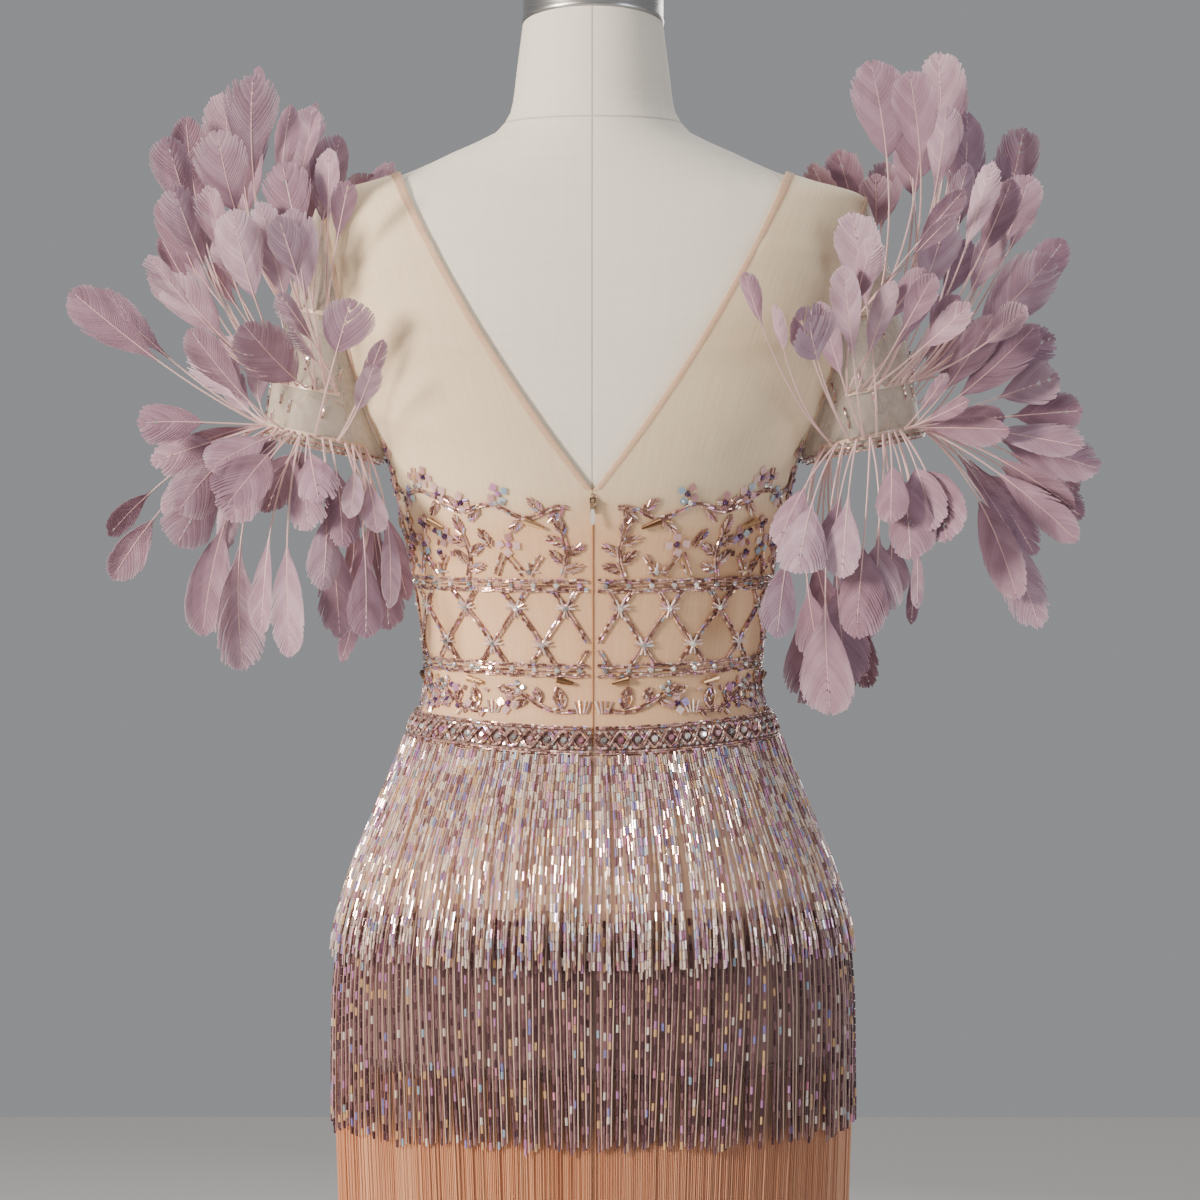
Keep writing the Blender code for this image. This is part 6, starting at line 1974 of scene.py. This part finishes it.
pale_beads = bead_finish("pale pink bugles", (0.55, 0.36, 0.32, 1), (0.92, 0.74, 0.68, 1), 0.12,
                         roughness=0.2, metallic=0.35, coat_weight=0.5)
stone_finish = bead_finish("dark stones", (0.045, 0.012, 0.065, 1), (0.17, 0.07, 0.20, 1), 0.05,
                           roughness=0.07, metallic=0.3, coat_weight=1.0)
pink_square_finish = bead_finish("pink sequins", (0.55, 0.26, 0.28, 1), (0.85, 0.58, 0.58, 1), 0.2,
                                 roughness=0.12, metallic=0.2, coat_weight=0.8, alpha=0.66)
blue_square_finish = bead_finish("blue sequins", (0.30, 0.45, 0.60, 1), (0.62, 0.80, 0.88, 1), 0.2,
                                 roughness=0.12, metallic=0.2, coat_weight=0.8, alpha=0.72)
cone_finish = bead_finish("bronze cones", (0.16, 0.075, 0.035, 1), (0.66, 0.42, 0.22, 1), 0.05,
                          roughness=0.15, metallic=0.8)
# Name, lines, finish, bead length (long enough for one bead a line where a line is one bead), radius at the
# start and at the end, sides, gap and tilt.
EVEN = BUGLE_HALF, BUGLE_HALF
for name, lines, finish, length, (radius, end_radius), sides, gap, tilt in (
        ("seed_beads", seed_lines, rose_beads, SEED_LENGTH, (SEED_RADIUS, SEED_RADIUS), 5, 0.10, 0.05),
        ("bugles", bugle_lines, rose_beads, ONE_BEAD, EVEN, 5, 0.05, 0.05),
        ("pale_bugles", pale_bugle_lines, pale_beads, ONE_BEAD, EVEN, 5, 0.05, 0.05),
        ("crystals", crystal_posts, crystal_finish, ONE_BEAD, (0.0024, 0.0013), 8, 0.0, 0.30),
        ("dark_stones", stone_posts, stone_finish, ONE_BEAD, (0.0024, 0.0013), 8, 0.0, 0.14),
        ("pink_squares", pink_squares, pink_square_finish, ONE_BEAD, (0.0036, 0.0036), 4, 0.0, 0.12),
        ("blue_squares", blue_squares, blue_square_finish, ONE_BEAD, (0.0033, 0.0033), 4, 0.0, 0.12),
        ("cones", cones, cone_finish, ONE_BEAD, (0.0012, 0.0025), 10, 0.0, 0.0)):
    piece = beads(f"embroidery_{name}", lines, finish, length, radius, sides, end_radius, gap, tilt)


# The zip slider and its pull tab
# A small bronze slider at the point of the V, with a tab that hangs from its bail. The tab is bronze at the
# bail and pale below. A line of orange stitching closes the seam under it.

BRONZE = (0.30, 0.21, 0.13, 1)
TAB_PALE_BELOW = 1.1655
STITCHED_FROM = 1.1560
STITCHED_TO = 0.9980

slider_finish = brushed_finish("slider metal", BRONZE, 2200.0)
tab_finish, tab_tree, tab_shader = new_finish("pull tab metal", metallic=0.45, roughness=0.3)
tab_where = tab_tree.nodes.new("ShaderNodeTexCoord").outputs["Object"]
tab_wear = cloudy(tab_tree, tab_where, 700.0, 2.0)
tab_pale = between(tab_tree, tab_wear, (0.76, 0.69, 0.61, 1), (0.95, 0.90, 0.83, 1))
tab_tree.links.new(between(tab_tree, above(tab_tree, TAB_PALE_BELOW, 0.0004), tab_pale, BRONZE),
                   tab_shader.inputs["Base Color"])
for node_name, finish in (("zip_slider", slider_finish), ("zip_pull_tab", tab_finish)):
    for material_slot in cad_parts[node_name].material_slots:
        material_slot.link = 'OBJECT'
        material_slot.material = finish

wire_turn = np.linspace(0.0, 2.0 * np.pi, 33)
wire_height = 1.1702 + 0.0062 * np.cos(wire_turn)
wire_half = 0.0026 - 0.0008 * (1.0 - np.cos(wire_turn))
wire_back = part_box("zip_slider")[1][1] - 0.0035
wire_line = np.stack([wire_half * np.sin(wire_turn), np.full(len(wire_turn), wire_back), wire_height], axis=1)
slider_wire = grown("zip_slider_wire", [wire_line], spinner,
                    {"Thread radius": 0.0004, "Sides": 6, "Finish": slider_finish})
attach(slider_wire, "dress")

stitch_finish = thread_finish("orange stitching", (0.34, 0.13, 0.045, 1), (0.50, 0.22, 0.09, 1), 2.0)
stitch_line = body_point(QUARTER, np.linspace(STITCHED_FROM, STITCHED_TO, 40), 0.0034)
stitching = grown("zip_seam_stitching", [stitch_line], spinner,
                  {"Thread radius": 0.0006, "Sides": 6, "Finish": stitch_finish})
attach(stitching, "dress")
